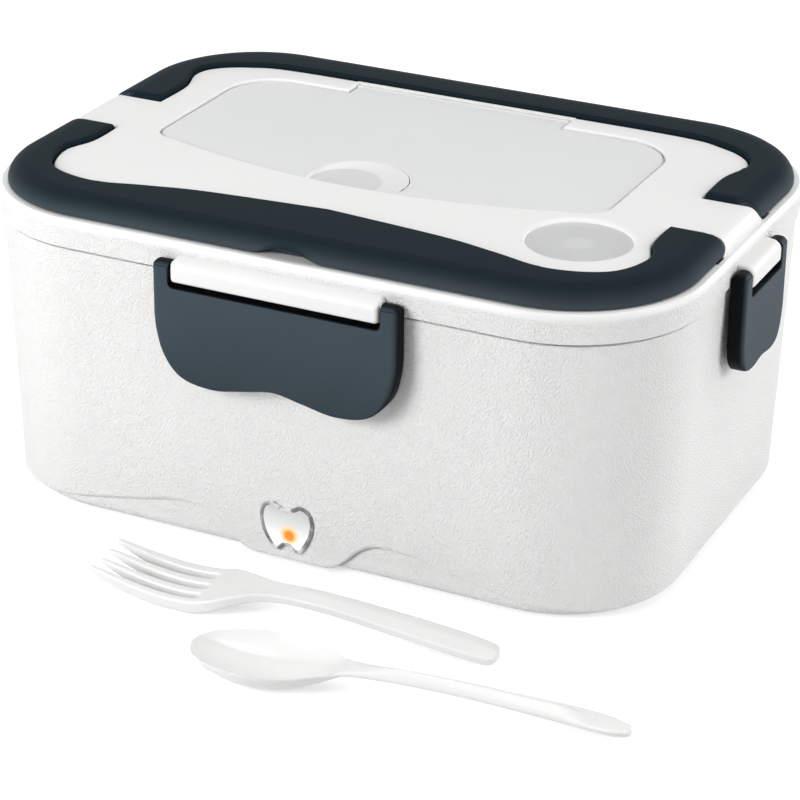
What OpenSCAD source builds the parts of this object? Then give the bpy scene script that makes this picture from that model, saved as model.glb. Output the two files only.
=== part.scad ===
// Electric lunch box: heated body, food container, lift-off lid with four clip latches,
// two fold-up carrying handles, a cutlery compartment in the lid, and a fork and a spoon.
// The origin lies on the floor under the middle of the box. +X runs along the long side,
// the indicator lens is on the front, which faces -Y, and +Z is up.

/* [Outline] */
// Length of the box over the lid's skirt
lid_length = 238; // [226:1:260]
// Width of the box over the lid's skirt
lid_width = 168; // [160:1:190]
// Corner radius of the lid's skirt, seen from above
corner_r = 44; // [42:0.5:48]
// Height of the seam between body and lid above the floor
seam_z = 94.2; // [92:0.1:110]
// Height of the lid from the seam to its white top
lid_h = 14.3; // [14:0.1:16]

/* [Body shell] */
// Wall of the outer shell
shell_wall = 2.5; // [2.2:0.1:3]
// Amount that each side leans in between the seam and the floor
draft = 3; // [1:0.5:4]
// Amount that the lid's skirt stands out past the shell at the seam
skirt_overhang = 1; // [0.6:0.1:1.5]
// Depth of the step between the shell's wavy lower edge and the base
step_depth = 1.4; // [1:0.1:1.6]
// Height of the lap where the shell covers the base's wall
lap_z = 16; // [15:0.5:20]
// Half width of the shell's tongue under the indicator lens
tongue_half = 15; // [13:0.5:18]
// Distance of the wave's crest from the middle
crest_x = 33; // [28:0.5:38]
// Height of the wave's crest
crest_z = 13; // [10:0.5:14]
// Height of the shell's lower edge round the corners and along the sides
edge_z = 3; // [2.5:0.1:4]

/* [Base] */
// Thickness of the base's floor
base_floor = 2.5; // [2:0.1:3.5]
// Wall of the base
base_wall = 1.8; // [1.5:0.1:2.5]
// Rounding of the base's lower edge
base_round = 4; // [3:0.5:5]
// Height of a foot pad below the base
foot_h = 0.8; // [0.6:0.1:2]
// Radius of a foot pad
foot_r = 7; // [5:0.5:9]
// Depth of a foot pad's seat in the base
foot_seat = 1.2; // [0.8:0.1:1.5]
// Radius of an assembly screw
screw_r = 1.5; // [1.2:0.1:2]
// Length of an assembly screw below its head
screw_len = 14; // [10:0.5:18]

/* [Heated well] */
// Height of the well's floor above the floor that the box stands on
well_floor_z = 24; // [23:0.5:28]
// Wall of the well liner
well_wall = 1.8; // [1.5:0.1:2.5]
// Thickness of the well's flange
flange_h = 1.5; // [1.2:0.1:2]
// Length of the heating plate
plate_l = 116; // [100:1:130]
// Width of the heating plate
plate_w = 70; // [60:1:80]
// Thickness of the heating plate's cap
plate_h = 1.5; // [1:0.1:2.5]
// Depth of the heating plate's block below its cap
plate_block_h = 4; // [3:0.5:5]
// Length of the heating element
heater_l = 70; // [50:1:80]
// Width of the heating element
heater_w = 30; // [20:1:36]
// Thickness of the heating element
heater_h = 5; // [4:0.5:6]
// Thickness of the insulation pad
pad_h = 6; // [4:0.5:7]
// Radius of the thermostat
thermostat_r = 7; // [5:0.5:8]
// Height of the thermostat
thermostat_h = 5; // [4:0.5:6]

/* [Food containers] */
// Distance from the lid's outer face to the food container's inner wall
container_inset = 19; // [18:0.5:22]
// Wall of the food container
container_wall = 1.2; // [1:0.1:1.6]
// Width of the food container's rim
rim_w = 8; // [7:0.5:9]
// Thickness of the food container's rim
rim_h = 1.2; // [1:0.1:1.5]
// Place of the divider between the two compartments
divider_x = 30; // [10:1:40]
// Distance from the rim down to the divider's top
divider_drop = 10; // [8:0.5:20]
// Corner radius of the small container
small_r = 20; // [12:1:22]
// Gap between the small container and the walls round it
small_gap = 1.5; // [1:0.1:3]

/* [Power inlet and indicator] */
// Width of the inlet's housing
inlet_w = 26; // [24:1:32]
// Height of the inlet's housing
inlet_h = 15; // [13:0.5:15.5]
// Depth of the inlet's housing
inlet_depth = 16; // [14:0.5:18]
// Height of the inlet's middle
inlet_z = 15; // [14.5:0.1:15.5]
// Distance between the two inlet pins
inlet_pin_gap = 8.6; // [8:0.1:9]
// Radius of an inlet pin
inlet_pin_r = 1.2; // [1:0.05:1.3]
// Half width of the indicator lens
lens_half = 9.6; // [8:0.1:11]
// Lowest point of the indicator lens
lens_z = 4.5; // [4:0.1:6]
// Height of the indicator lens
lens_h = 17; // [14:0.1:18]
// Amount that the lens stands out of the shell
lens_proud = 0.5; // [0.2:0.1:1]
// Radius of the signal lamp
led_r = 2.5; // [1.5:0.1:3]

/* [Lid] */
// Wall of the lid's skirt
skirt_wall = 2; // [1.6:0.1:2.4]
// Thickness of the lid's top
top_wall = 2; // [1.6:0.1:2.2]
// Rounding of the white shoulder under the handles
shoulder_r = 2.6; // [2:0.1:3]
// Depth of the handle channels below the white top
channel_depth = 4.9; // [4.5:0.1:5.2]
// Thickness of the lid's inner plate
inner_plate = 1.3; // [1:0.1:1.5]
// Width of the silicone seal
seal_w = 3.8; // [3:0.1:4.5]

/* [Cutlery compartment] */
// Left edge of the frosted cover
cover_left = -84; // [-88:1:-76]
// Right edge of the frosted cover
cover_right = 75; // [70:1:76]
// Back edge of the frosted cover
cover_back = 53; // [48:1:54]
// Front corners of the frosted cover
cover_front = -16; // [-18:1:-12]
// Amount that the cover's front edge bulges forward
cover_bulge = 12; // [8:0.5:13]
// Left end of the cover's hinge tab
tab_left = -46; // [-60:1:-40]
// Right end of the cover's hinge tab
tab_right = 33; // [28:1:44]
// Distance from the cover's back edge to its hinge line
tab_reach = 7; // [6:0.5:8]
// Thickness of the frosted cover
cover_h = 1.8; // [1.5:0.1:2]
// Width of the shelf that the cover rests on
cover_shelf = 4; // [3:0.5:6]
// Wall of the cutlery compartment
tray_wall = 1.4; // [1.2:0.1:1.8]
// Radius of the finger notch in the cover
scoop_r = 16; // [12:0.5:18]
// Depth of the finger recess under the notch
scoop_depth = 4.5; // [3:0.1:6]

/* [Vent] */
// Place of the vent plug along the box
vent_x = 76.4; // [74:0.1:78]
// Place of the vent plug across the box
vent_y = -36.2; // [-38:0.1:-35]
// Radius of the vent plug's cap
vent_r = 16.2; // [14:0.1:16.5]
// Radius of the vent plug's stem
stem_r = 5; // [3:0.1:6]
// Thickness of the vent plug's cap
vent_h = 1.4; // [1:0.1:1.6]

/* [Handles] */
// Height of a handle
handle_h = 6.1; // [5.8:0.1:6.5]
// Distance from the lid's outer face to a handle's outer edge
handle_inset = 2.6; // [2.4:0.1:3]
// Width of the front handle at its middle, from the lid's face
grip_w = 32; // [26:0.5:34]
// Width of the front handle where it is narrowest
waist_w = 20; // [18:0.5:22]
// Width of the rear handle along the back
rear_w = 21; // [19:0.5:21.5]
// Width of the handles' arms at their pivots
arm_w = 21; // [20.5:0.1:22]
// Amount that the arms get narrower behind the corners
bay = 3.5; // [2:0.5:4]
// End of the front handle's arms
front_end = -16; // [-18:0.5:-15]
// End of the rear handle's arms
rear_end = 13.5; // [13:0.5:16]
// Distance from a handle's end to its pivot
pivot_back = 6; // [5:0.1:6.5]
// Height of the handle pivots below the white top
pivot_drop = 2.3; // [2.1:0.1:2.5]
// Radius of a handle pin
handle_pin_r = 1.3; // [1:0.1:1.4]
// Width of the finger notch under the front handle
notch_w = 22; // [16:1:30]
// Height of the finger notch
notch_h = 2.6; // [1.5:0.1:3]

/* [Latches] */
// Width of the front and rear latches
wide_latch_w = 83; // [76:1:90]
// Width of the side latches
side_latch_w = 39; // [36:0.5:44]
// Amount that the latches and their hinge bars stand out from the lid
latch_out = 5.5; // [5.3:0.1:6]
// Width of a latch's ear beside the hinge bar
ear_w = 6; // [5:0.1:7]
// Length of a wide latch from its hinge to its lowest point
wide_latch_drop = 37.8; // [34:0.1:42]
// Length of a side latch from its hinge to its lowest point
side_latch_drop = 31.3; // [29:0.1:34]
// Height of the latch hinge above the seam
latch_axis_h = 3.1; // [3:0.1:3.4]
// Radius of a latch pin
latch_pin_r = 1.2; // [1:0.1:1.3]
// Thickness of a latch's front plate
latch_plate = 2.2; // [1.8:0.1:2.4]
// Height of the catch ribs' underside on the body, below the seam
catch_drop = 20.2; // [19:0.1:22]

/* [Cutlery] */
// Length of the fork
fork_l = 133; // [120:1:150]
// Width of the fork's head
fork_w = 24; // [20:1:28]
// Length of the fork's tines
tine_l = 37; // [30:1:42]
// Width of the slots between the tines
slot_w = 3; // [2.4:0.1:3.4]
// Length of the spoon
spoon_l = 133; // [120:1:150]
// Width of the spoon's bowl
bowl_w = 29; // [26:1:34]
// Length of the spoon's bowl
bowl_l = 46; // [40:1:54]
// Thickness of the cutlery
cutlery_t = 2; // [1.6:0.1:2.6]
// Distance of the fork in front of the box's middle line
fork_y = 113; // [112:0.5:125]
// Distance of the spoon in front of the box's middle line
spoon_y = 150; // [148:0.5:165]

/* [Fits] */
// Gap between still parts that fit into each other
fit = 0.2; // [0.15:0.05:0.25]
// Gap between parts that move past each other
run = 0.3; // [0.25:0.05:0.35]
// Gap between a pin and its bore
bore_gap = 0.1; // [0.08:0.01:0.15]
// Overlap that lets two shapes of one piece join
weld = 0.2; // [0.1:0.05:0.3]

/* [Hidden] */
$fn = 64;
CORNER_STEPS = 48;
SPLINE_STEPS = 8;

// Half sizes, and the centres of the corner arcs that every rounded rectangle shares.
hl = lid_length / 2;
hw = lid_width / 2;
cx = hl - corner_r;
cy = hw - corner_r;
// Quadrants as signs of X and Y, in the order in which the copies are numbered.
QUADRANTS = [[1, 1], [-1, 1], [-1, -1], [1, -1]];

// Distances from the corner centres outward, called radii here.
body_r = corner_r - skirt_overhang;
skirt_in_r = corner_r - skirt_wall;
lip_r = skirt_in_r - run;
container_in_r = corner_r - container_inset;
container_out_r = container_in_r + container_wall;
well_in_r = container_out_r + 0.8;
well_out_r = well_in_r + well_wall;
rim_r = container_in_r + rim_w;
handle_r = corner_r - handle_inset;

// Heights, from the floor up.
base_z = foot_h;
base_top_z = base_z + base_floor;
shell_top_z = seam_z - run;
flange_z = shell_top_z - 0.4;
well_top_z = flange_z + flange_h;
rim_top_z = well_top_z + rim_h;
plate_z = well_floor_z + 2;
heater_z = plate_z - plate_block_h - heater_h - fit;
container_z = plate_z + plate_h + run;
inner_z = rim_top_z + 0.8;
top_z = seam_z + lid_h;
channel_z = top_z - channel_depth;
ledge_z = channel_z - top_wall;
tray_z = seam_z - 0.1;
dish_z = tray_z - run - 1.5;
pivot_z = top_z - pivot_drop;
front_pivot_y = front_end - pivot_back;
rear_pivot_y = rear_end + pivot_back;
handle_z = channel_z + run;
swing_r = norm([pivot_back, pivot_z - handle_z]);
cover_z = top_z - run - cover_h;
cover_axis_y = cover_back + tab_reach;
cover_axis_z = cover_z + 0.6;
latch_axis_z = seam_z + latch_axis_h;

// Outer radius of the drafted shell at height z.
function shell_r(z) = body_r - draft * (seam_z - z) / seam_z;

// Catmull-Rom curve through the points p, with n steps between neighbours.
function curve_at(a, b, c, d, t) =
    0.5 * (2 * b + (c - a) * t + (2 * a - 5 * b + 4 * c - d) * t * t
    + (3 * b - a - 3 * c + d) * t * t * t);
function curve(p, n = SPLINE_STEPS) = [
    for (i = [0 : len(p) - 2], s = [0 : n - 1])
        curve_at(p[max(i - 1, 0)], p[i], p[i + 1], p[min(i + 2, len(p) - 1)], s / n),
    p[len(p) - 1]
];
// The points p, given for x >= 0 from the middle outward, with their mirror image.
function both_sides(p) = concat(
    [for (i = [len(p) - 1 : -1 : 1]) [-p[i][0], p[i][1]]], p
);
function shifted(p, d) = [for (q = p) q + d];
function reversed(p) = [for (i = [len(p) - 1 : -1 : 0]) p[i]];

// Runs a wall profile (radius, height) round the rounded rectangle of the box.
module swept(ax = cx, ay = cy) {
    for (sx = [0, 1], sy = [0, 1]) {
        mirror([sx, 0, 0]) mirror([0, sy, 0])
            translate([ax, ay, 0]) rotate_extrude(angle = 90, $fn = CORNER_STEPS) children();
    }
    for (sy = [0, 1]) {
        mirror([0, sy, 0]) translate([-ax, ay, 0])
            rotate([90, 0, 90]) linear_extrude(2 * ax) children();
    }
    for (sx = [0, 1]) {
        mirror([sx, 0, 0]) translate([ax, ay, 0])
            rotate([90, 0, 0]) linear_extrude(2 * ay) children();
    }
}

// A solid rounded rectangle of radius r between two heights.
module slab(r, z0, z1, ax = cx, ay = cy) {
    translate([0, 0, z0]) linear_extrude(z1 - z0) rounded(2 * (ax + r), 2 * (ay + r), r);
}

// Exact rounded rectangle, centred.
module rounded(w, h, r) {
    square([w - 2 * r, h], center = true);
    square([w, h - 2 * r], center = true);
    for (sx = [-1, 1], sy = [-1, 1]) {
        translate([sx * (w / 2 - r), sy * (h / 2 - r)]) circle(r);
    }
}

// Extrudes a profile drawn as (outward distance, height) along X, centred, facing -Y.
module along_x(w) {
    translate([w / 2, 0, 0]) rotate([90, 0, -90]) linear_extrude(w) children();
}

// Extrudes an outline drawn in X and Z from y0 back to y1.
module along_y(y0, y1) {
    translate([0, y1, 0]) rotate([90, 0, 0]) linear_extrude(y1 - y0) children();
}

module x_rod(r, x0, x1, y, z) {
    translate([x0, y, z]) rotate([0, 90, 0]) cylinder(r = r, h = x1 - x0);
}

module y_rod(r, y0, y1, x, z) {
    translate([x, y1, z]) rotate([90, 0, 0]) cylinder(r = r, h = y1 - y0);
}

// ---- Body ----

// Region below the shell's wavy lower edge, drawn in X and Z.
function wave_points() = both_sides(curve([
    [0, base_z + fit],
    [tongue_half - 3, base_z + fit],
    [tongue_half + 1, base_z + 1.2],
    [tongue_half + 5, crest_z * 0.4],
    [crest_x - 7, crest_z * 0.83],
    [crest_x, crest_z],
    [crest_x + 10, crest_z * 0.95],
    [crest_x + 22, crest_z * 0.75],
    [crest_x + 39, crest_z * 0.5],
    [cx + 13, edge_z + 1.2],
    [cx + 28, edge_z],
    [hl + 5, edge_z]
]));

// Clear window with a dent on top and a notch below, drawn in X and Z.
function lens_points(gap) = let (w = lens_half + gap, h = lens_h + 2 * gap, z = lens_z - gap)
    both_sides(curve([
        [0, z + h * 0.89], [w * 0.24, z + h * 0.93], [w * 0.5, z + h],
        [w * 0.87, z + h * 0.9], [w, z + h * 0.65], [w * 0.88, z + h * 0.33],
        [w * 0.55, z + h * 0.03], [w * 0.3, z], [w * 0.1, z + h * 0.09],
        [0, z + h * 0.1]
    ], 6));

lens_y = -cy - shell_r(lens_z + lens_h / 2) - lens_proud;
inlet_y = cy + shell_r(inlet_z + 10) + 0.1;
catch_z = seam_z - catch_drop;
catch_h = 3;
// Catch ribs and hooks pass each other with this much room, so the lid lifts straight.
catch_y = latch_out - latch_plate - 2;

module catch_rib(w) {
    // Drawn as outward distance from the lid's face plane and height.
    along_x(w) polygon([
        [-5, catch_z], [catch_y - run, catch_z],
        [catch_y - run, catch_z + 1], [-5, catch_z + catch_h + 3]
    ]);
}

module on_sides() {
    // Front, rear, right and left faces of the lid, as local -Y.
    for (a = [0, 180]) rotate(a) translate([0, -hw, 0]) children(0);
    for (a = [90, -90]) rotate(a) translate([0, -hl, 0]) children(1);
}

module outer_shell() {
    color("white") difference() {
        union() {
            swept() polygon([
                [shell_r(base_z + fit), base_z + fit],
                [shell_r(shell_top_z), shell_top_z],
                [lip_r + fit, shell_top_z],
                [lip_r + fit, flange_z],
                [shell_r(flange_z) - shell_wall, flange_z],
                [shell_r(lap_z) - shell_wall, lap_z],
                [shell_r(lap_z) - step_depth, lap_z],
                [shell_r(base_z + fit) - step_depth, base_z + fit]
            ]);
            intersection() {
                on_sides() {
                    catch_rib(wide_latch_w - 27);
                    catch_rib(side_latch_w - 18);
                }
                difference() {
                    slab(corner_r + latch_out, catch_z, catch_z + catch_h + 3);
                    slab(shell_r(catch_z) - shell_wall / 2, catch_z - 1, catch_z + catch_h + 4);
                }
            }
        }
        along_y(-hw - 5, hw + 5) polygon(concat(
            [[-hl - 5, -1]], wave_points(), [[hl + 5, -1]]
        ));
        along_y(-hw - 5, -cy) polygon(lens_points(fit));
        translate([0, hw - 8, inlet_z])
            cube([inlet_w + 2 * fit, 20, inlet_h + 2 * fit], center = true);
    }
}

screw_places = [for (q = QUADRANTS) [q[0] * cx, q[1] * cy]];
foot_places = [for (q = QUADRANTS) [q[0] * (cx + 16), q[1] * (cy + 16)]];
head_r = 2 * screw_r;
head_h = 1.2 * screw_r;
base_out_r = shell_r(0) - step_depth - fit;
board_w = 20;
board_t = 1.6;
board_y = -cy - 30;
board_h = 14;
post_t = 2;
post_h = 10.5;

module base_plate() {
    color("white") difference() {
        union() {
            swept() difference() {
                union() {
                    translate([0, base_z]) square([base_out_r - base_round, base_floor]);
                    translate([0, base_z + base_round])
                        square([base_out_r, lap_z - fit - base_z - base_round]);
                    translate([base_out_r - base_round, base_z + base_round]) circle(base_round);
                }
                translate([-1, base_top_z]) square([base_out_r - base_wall - base_round + 1, lap_z]);
                translate([-1, base_z + base_round])
                    square([base_out_r - base_wall + 1, lap_z]);
                translate([base_out_r - base_wall - base_round, base_z + base_round])
                    circle(base_round - (base_floor - base_wall));
            }
            translate([0, 0, base_z + base_floor / 2])
                cube([2 * cx + weld, 2 * cy + weld, base_floor], center = true);
            for (p = screw_places) {
                translate([p[0], p[1], base_z]) cylinder(r = head_r + 2, h = base_floor + 2.5);
            }
            for (p = foot_places) {
                translate([p[0], p[1], base_z]) cylinder(r = foot_r + 1.5, h = foot_seat + 2);
            }
            // Posts beside the lamp board.
            for (sx = [-1, 1]) {
                translate([sx * (board_w / 2 + run + post_t / 2), board_y, base_top_z + post_h / 2])
                    cube([post_t, 5, post_h + 2 * weld], center = true);
            }
        }
        for (p = screw_places) {
            translate([p[0], p[1], base_z - 1]) cylinder(r = screw_r + fit, h = 10);
            translate([p[0], p[1], base_z - 1]) cylinder(r = head_r + fit, h = head_h + 1 + fit);
        }
        for (p = foot_places) {
            translate([p[0], p[1], base_z - 1]) cylinder(r = foot_r + fit, h = foot_seat + 1);
        }
        translate([0, -cy - base_out_r, base_top_z + lap_z / 2])
            cube([2 * lens_half + 4, 12, lap_z], center = true);
        translate([0, hw - 8, inlet_z])
            cube([inlet_w + 2 * fit, 20, inlet_h + 2 * fit], center = true);
    }
}

leg_z = base_top_z + 2.5 + fit;

module inner_liner() {
    color("white") difference() {
        union() {
            swept() {
                translate([well_in_r, well_floor_z]) square([well_wall, well_top_z - well_floor_z]);
                translate([well_in_r, flange_z]) square([lip_r - well_in_r, flange_h]);
            }
            slab(well_out_r, well_floor_z, plate_z);
            for (p = screw_places) {
                translate([p[0], p[1], leg_z]) cylinder(r = 4, h = well_floor_z - leg_z + weld);
            }
        }
        translate([0, 0, well_floor_z - 1]) linear_extrude(4)
            rounded(plate_l - 8 + 2 * fit, plate_w - 8 + 2 * fit, 6);
        for (p = screw_places) {
            translate([p[0], p[1], leg_z - 1])
                cylinder(r = screw_r + bore_gap, h = screw_len - base_floor);
        }
    }
}

module base_screw(i) {
    color("silver") translate([screw_places[i][0], screw_places[i][1], base_z + fit]) {
        difference() {
            cylinder(r = head_r, h = head_h);
            translate([0, 0, -weld]) cylinder(r = screw_r, h = head_h * 0.6, $fn = 6);
        }
        translate([0, 0, head_h - weld]) cylinder(r = screw_r, h = screw_len - 1.5);
    }
}

module foot_pad(i) {
    color("dimgray") translate([foot_places[i][0], foot_places[i][1], 0])
        cylinder(r = foot_r, h = foot_h + foot_seat);
}

// ---- Heater ----

block_z = plate_z - plate_block_h;
clamp_t = 1;
clamp_w = heater_w * 0.6;
clamp_foot = 11;
clamp_half = heater_l / 2 + clamp_foot / 2 + run + fit;

module heating_plate() {
    color("gainsboro") difference() {
        union() {
            translate([0, 0, plate_z]) linear_extrude(plate_h) rounded(plate_l, plate_w, 10);
            translate([0, 0, block_z]) linear_extrude(plate_block_h + weld)
                rounded(plate_l - 8, plate_w - 8, 6);
        }
        for (sx = [-1, 1]) {
            translate([sx * clamp_half, 0, block_z - 1]) cylinder(r = screw_r + bore_gap, h = 4);
        }
    }
}

module ptc_heater() {
    color("firebrick") translate([0, 0, heater_z + heater_h / 2])
        cube([heater_l, heater_w, heater_h], center = true);
}

module heater_clamp() {
    clamp_z = heater_z - fit - clamp_t;
    color("silver") difference() {
        union() {
            translate([0, 0, clamp_z + clamp_t / 2])
                cube([heater_l + 2 * run + 2 * clamp_t, clamp_w, clamp_t], center = true);
            for (sx = [-1, 1]) {
                translate([sx * (heater_l / 2 + run + clamp_t / 2), 0, (clamp_z + block_z - fit) / 2])
                    cube([clamp_t, clamp_w, block_z - fit - clamp_z], center = true);
                translate([sx * (clamp_half + 0.5), 0, block_z - fit - clamp_t / 2])
                    cube([clamp_foot - 2 * run, clamp_w, clamp_t], center = true);
            }
        }
        for (sx = [-1, 1]) {
            translate([sx * clamp_half, 0, clamp_z - 1])
                cylinder(r = screw_r + bore_gap, h = heater_h + 6);
        }
    }
}

module clamp_screw(sx) {
    color("silver") translate([sx * clamp_half, 0, block_z - fit - clamp_t - fit]) {
        translate([0, 0, clamp_t]) cylinder(r = screw_r, h = 3);
        translate([0, 0, -1.5]) cylinder(r = head_r * 0.85, h = 1.5);
        cylinder(r = screw_r, h = clamp_t + weld);
    }
}

thermostat_y = heater_w / 2 + thermostat_r + 1.5;
thermostat_z = block_z - fit - thermostat_h;
// Half the distance between the thermostat's two tabs, and their length.
tab_gap = 3;
tab_l = 2;
fuse_half = 6;
fuse_r = 2;
fuse_z = block_z - fit - fuse_r;

module thermostat() {
    color("tan") translate([-plate_l / 4, thermostat_y, thermostat_z]) {
        cylinder(r = thermostat_r, h = thermostat_h);
        for (sx = [-1, 1]) {
            translate([sx * tab_gap, 0, -tab_l]) cylinder(r = 0.8, h = tab_l + weld);
        }
    }
}

module thermal_fuse() {
    color("goldenrod")
        x_rod(fuse_r, plate_l / 4 - fuse_half, plate_l / 4 + fuse_half, thermostat_y, fuse_z);
}

module insulation_pad() {
    color("khaki") translate([0, 0, base_top_z + fit]) linear_extrude(pad_h)
        rounded(plate_l + 4, plate_w + 4, 6);
}

// Insulated leads: inlet to thermostat and fuse, and on past the heater to the lamp board.
lead_r = 1.1;
lead_z = base_top_z + pad_h + fit + lead_r + run;
lead_inlet_y = inlet_y - inlet_depth - lead_r - run;
lead_board_y = board_y + board_t / 2 + lead_r + 2 * run;
lead_heater_y = 3 - heater_w / 2;
lead_routes = [
    [[-inlet_pin_gap / 2, lead_inlet_y, lead_z],
     [-plate_l / 4 - tab_gap, cy, lead_z],
     [-plate_l / 4 - tab_gap, thermostat_y, lead_z]],
    [[inlet_pin_gap / 2, lead_inlet_y, lead_z],
     [plate_l / 4 + fuse_half, cy, lead_z],
     [plate_l / 4 + fuse_half, thermostat_y, lead_z]],
    [[plate_l / 4 - fuse_half, thermostat_y, lead_z],
     [plate_l / 4 - fuse_half, lead_heater_y, lead_z],
     [2, lead_board_y, lead_z]],
    [[-plate_l / 4 + tab_gap, thermostat_y, lead_z],
     [-plate_l / 4 + tab_gap, lead_heater_y, lead_z],
     [-2, lead_board_y, lead_z]]
];
// Short upright ends of the leads: place, and underside of the piece that each one feeds.
lead_ends = [
    [-inlet_pin_gap / 2, lead_inlet_y, inlet_z - inlet_pin_r],
    [inlet_pin_gap / 2, lead_inlet_y, inlet_z - inlet_pin_r],
    [-plate_l / 4 - tab_gap, thermostat_y, thermostat_z - tab_l],
    [-plate_l / 4 + tab_gap, thermostat_y, thermostat_z - tab_l],
    [plate_l / 4 + fuse_half, thermostat_y, fuse_z - fuse_r],
    [plate_l / 4 - fuse_half, thermostat_y, fuse_z - fuse_r],
    [plate_l / 4 - fuse_half, lead_heater_y, heater_z],
    [-plate_l / 4 + tab_gap, lead_heater_y, heater_z]
];

// Straight lead between two points of one height, a little longer so that corners join.
module lead(a, b) {
    d = b - a;
    translate(a) rotate([0, 0, atan2(d[1], d[0])]) translate([-lead_r, 0, 0])
        rotate([0, 90, 0]) cylinder(r = lead_r, h = norm(d) + 2 * lead_r, $fn = 8);
}

module wiring() {
    color("firebrick") for (route = lead_routes) {
        for (i = [0 : len(route) - 2]) {
            lead(route[i], route[i + 1]);
        }
    }
    color("firebrick") for (p = lead_ends) {
        translate([p[0], p[1], lead_z])
            cylinder(r = lead_r - 0.1, h = p[2] - fit - lead_z, $fn = 8);
    }
}

// ---- Power inlet and indicator ----

pin_well_r = 3.7;

// Socket with two round ends, open to the rear, with one pin in each end.
module inlet_recess() {
    for (sx = [-1, 1]) {
        y_rod(pin_well_r, inlet_y - inlet_depth + 3, inlet_y + 5, sx * inlet_pin_gap / 2, inlet_z);
    }
    translate([0, inlet_y - inlet_depth / 2 + 4, inlet_z])
        cube([inlet_pin_gap, inlet_depth + 2, 2 * pin_well_r], center = true);
}

module power_inlet() {
    color("dimgray") difference() {
        union() {
            translate([0, 0, inlet_z]) along_y(inlet_y, inlet_y + 1.5)
                rounded(inlet_w + 6, inlet_h + 5, 3);
            translate([0, inlet_y - inlet_depth / 2 + weld, inlet_z])
                cube([inlet_w, inlet_depth, inlet_h], center = true);
        }
        inlet_recess();
        for (sx = [-1, 1]) {
            y_rod(inlet_pin_r + bore_gap, inlet_y - inlet_depth - 1, inlet_y,
                sx * inlet_pin_gap / 2, inlet_z);
        }
    }
}

module inlet_pin(sx) {
    color("silver") {
        y_rod(inlet_pin_r, inlet_y - inlet_depth - 3, inlet_y - 3,
            sx * inlet_pin_gap / 2, inlet_z);
    }
}

module indicator_lens() {
    color([0.85, 0.87, 0.88, 0.6]) along_y(lens_y, lens_y + lens_proud + shell_wall)
        polygon(lens_points(0));
}

lamp_z = lens_z + lens_h * 0.33;
// Middle of the lamp's round tip, just behind the lens.
lamp_tip_y = lens_y + lens_proud + shell_wall + run + led_r;

module signal_lamp() {
    color("orange") {
        y_rod(led_r, lamp_tip_y, board_y - board_t / 2 - fit, 0, lamp_z);
        translate([0, lamp_tip_y, lamp_z]) sphere(led_r);
    }
}

module lamp_board() {
    color("green") translate([0, board_y, base_top_z + fit + board_h / 2])
        cube([board_w, board_t, board_h], center = true);
}

// ---- Food containers ----

small_x0 = divider_x + container_wall / 2 + small_gap;
small_x1 = cx + container_in_r - small_gap;
small_w = small_x1 - small_x0;
small_d = 2 * (cy + container_in_r - small_gap);
divider_top_z = rim_top_z - divider_drop;
small_z = container_z + container_wall + fit;

module food_container() {
    color("gainsboro") difference() {
        union() {
            slab(container_out_r, container_z, rim_top_z);
            slab(rim_r, well_top_z, rim_top_z);
        }
        difference() {
            slab(container_in_r, container_z + container_wall, rim_top_z + 1);
            translate([divider_x - container_wall / 2, -hw, container_z])
                cube([container_wall, lid_width, divider_top_z - container_z]);
        }
    }
}

module small_container() {
    color("whitesmoke") translate([(small_x0 + small_x1) / 2, 0, 0]) difference() {
        translate([0, 0, small_z]) linear_extrude(divider_top_z - small_z)
            rounded(small_w, small_d, small_r);
        translate([0, 0, small_z + 1.2]) linear_extrude(divider_top_z)
            rounded(small_w - 2.4, small_d - 2.4, small_r - 1.2);
    }
}

// ---- Lid ----

// Inner edges of the handles, for x >= 0, from the middle to the arm's end.
front_edge = [
    [0, grip_w - hw], [0.34 * hl, grip_w - 4 - hw], [0.5 * hl, (grip_w + waist_w) / 2 - 2 - hw],
    [0.655 * hl, waist_w - hw], [0.8 * hl, waist_w + 6 - hw],
    [hl - arm_w + bay, waist_w + 21 - hw], [hl - arm_w, waist_w + 34 - hw],
    [hl - arm_w, front_end]
];
rear_edge = [
    [0, hw - rear_w], [0.58 * hl, hw - rear_w], [0.74 * hl, hw - rear_w - 4],
    [hl - arm_w + bay - 3, hw - rear_w - 11], [hl - arm_w + bay, hw - rear_w - 20],
    [hl - arm_w, hw - rear_w - 33], [hl - arm_w, rear_end]
];

// Footprint of a handle: everything outside its inner edge, up to the ends of its arms.
module handle_footprint(edge, far_y, end_y) {
    far_x = hl + 5;
    polygon(concat(
        [[-far_x, end_y]], both_sides(curve(edge)),
        [[far_x, end_y], [far_x, far_y], [-far_x, far_y]]
    ));
}

// Lid profile with a round upper edge, from the middle out to radius r.
module dome(r, z0, z1, round_r) {
    translate([0, z0]) square([r, z1 - round_r - z0]);
    translate([0, z0]) square([r - round_r, z1 - z0]);
    translate([r - round_r, z1 - round_r]) circle(round_r);
}

module domed(r, z0, z1, round_r) {
    swept() intersection() {
        dome(r, z0, z1, round_r);
        translate([0, z0]) square([2 * r, z1 - z0]);
    }
    translate([0, 0, (z0 + z1) / 2]) cube([2 * cx + weld, 2 * cy + weld, z1 - z0], center = true);
}

cover_mid_x = (cover_left + cover_right) / 2;
// The cover's hinge: the round edge of its tab, with a thin stub at each end.
tab_r = 1.2;
stub_r = 0.7;
stub_l = 2.2;

// Points on a circle of radius r between two angles.
function arc(x, y, r, a0, a1, n = 8) =
    [for (i = [0 : n]) let (a = a0 + (a1 - a0) * i / n) [x + r * cos(a), y + r * sin(a)]];

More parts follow.
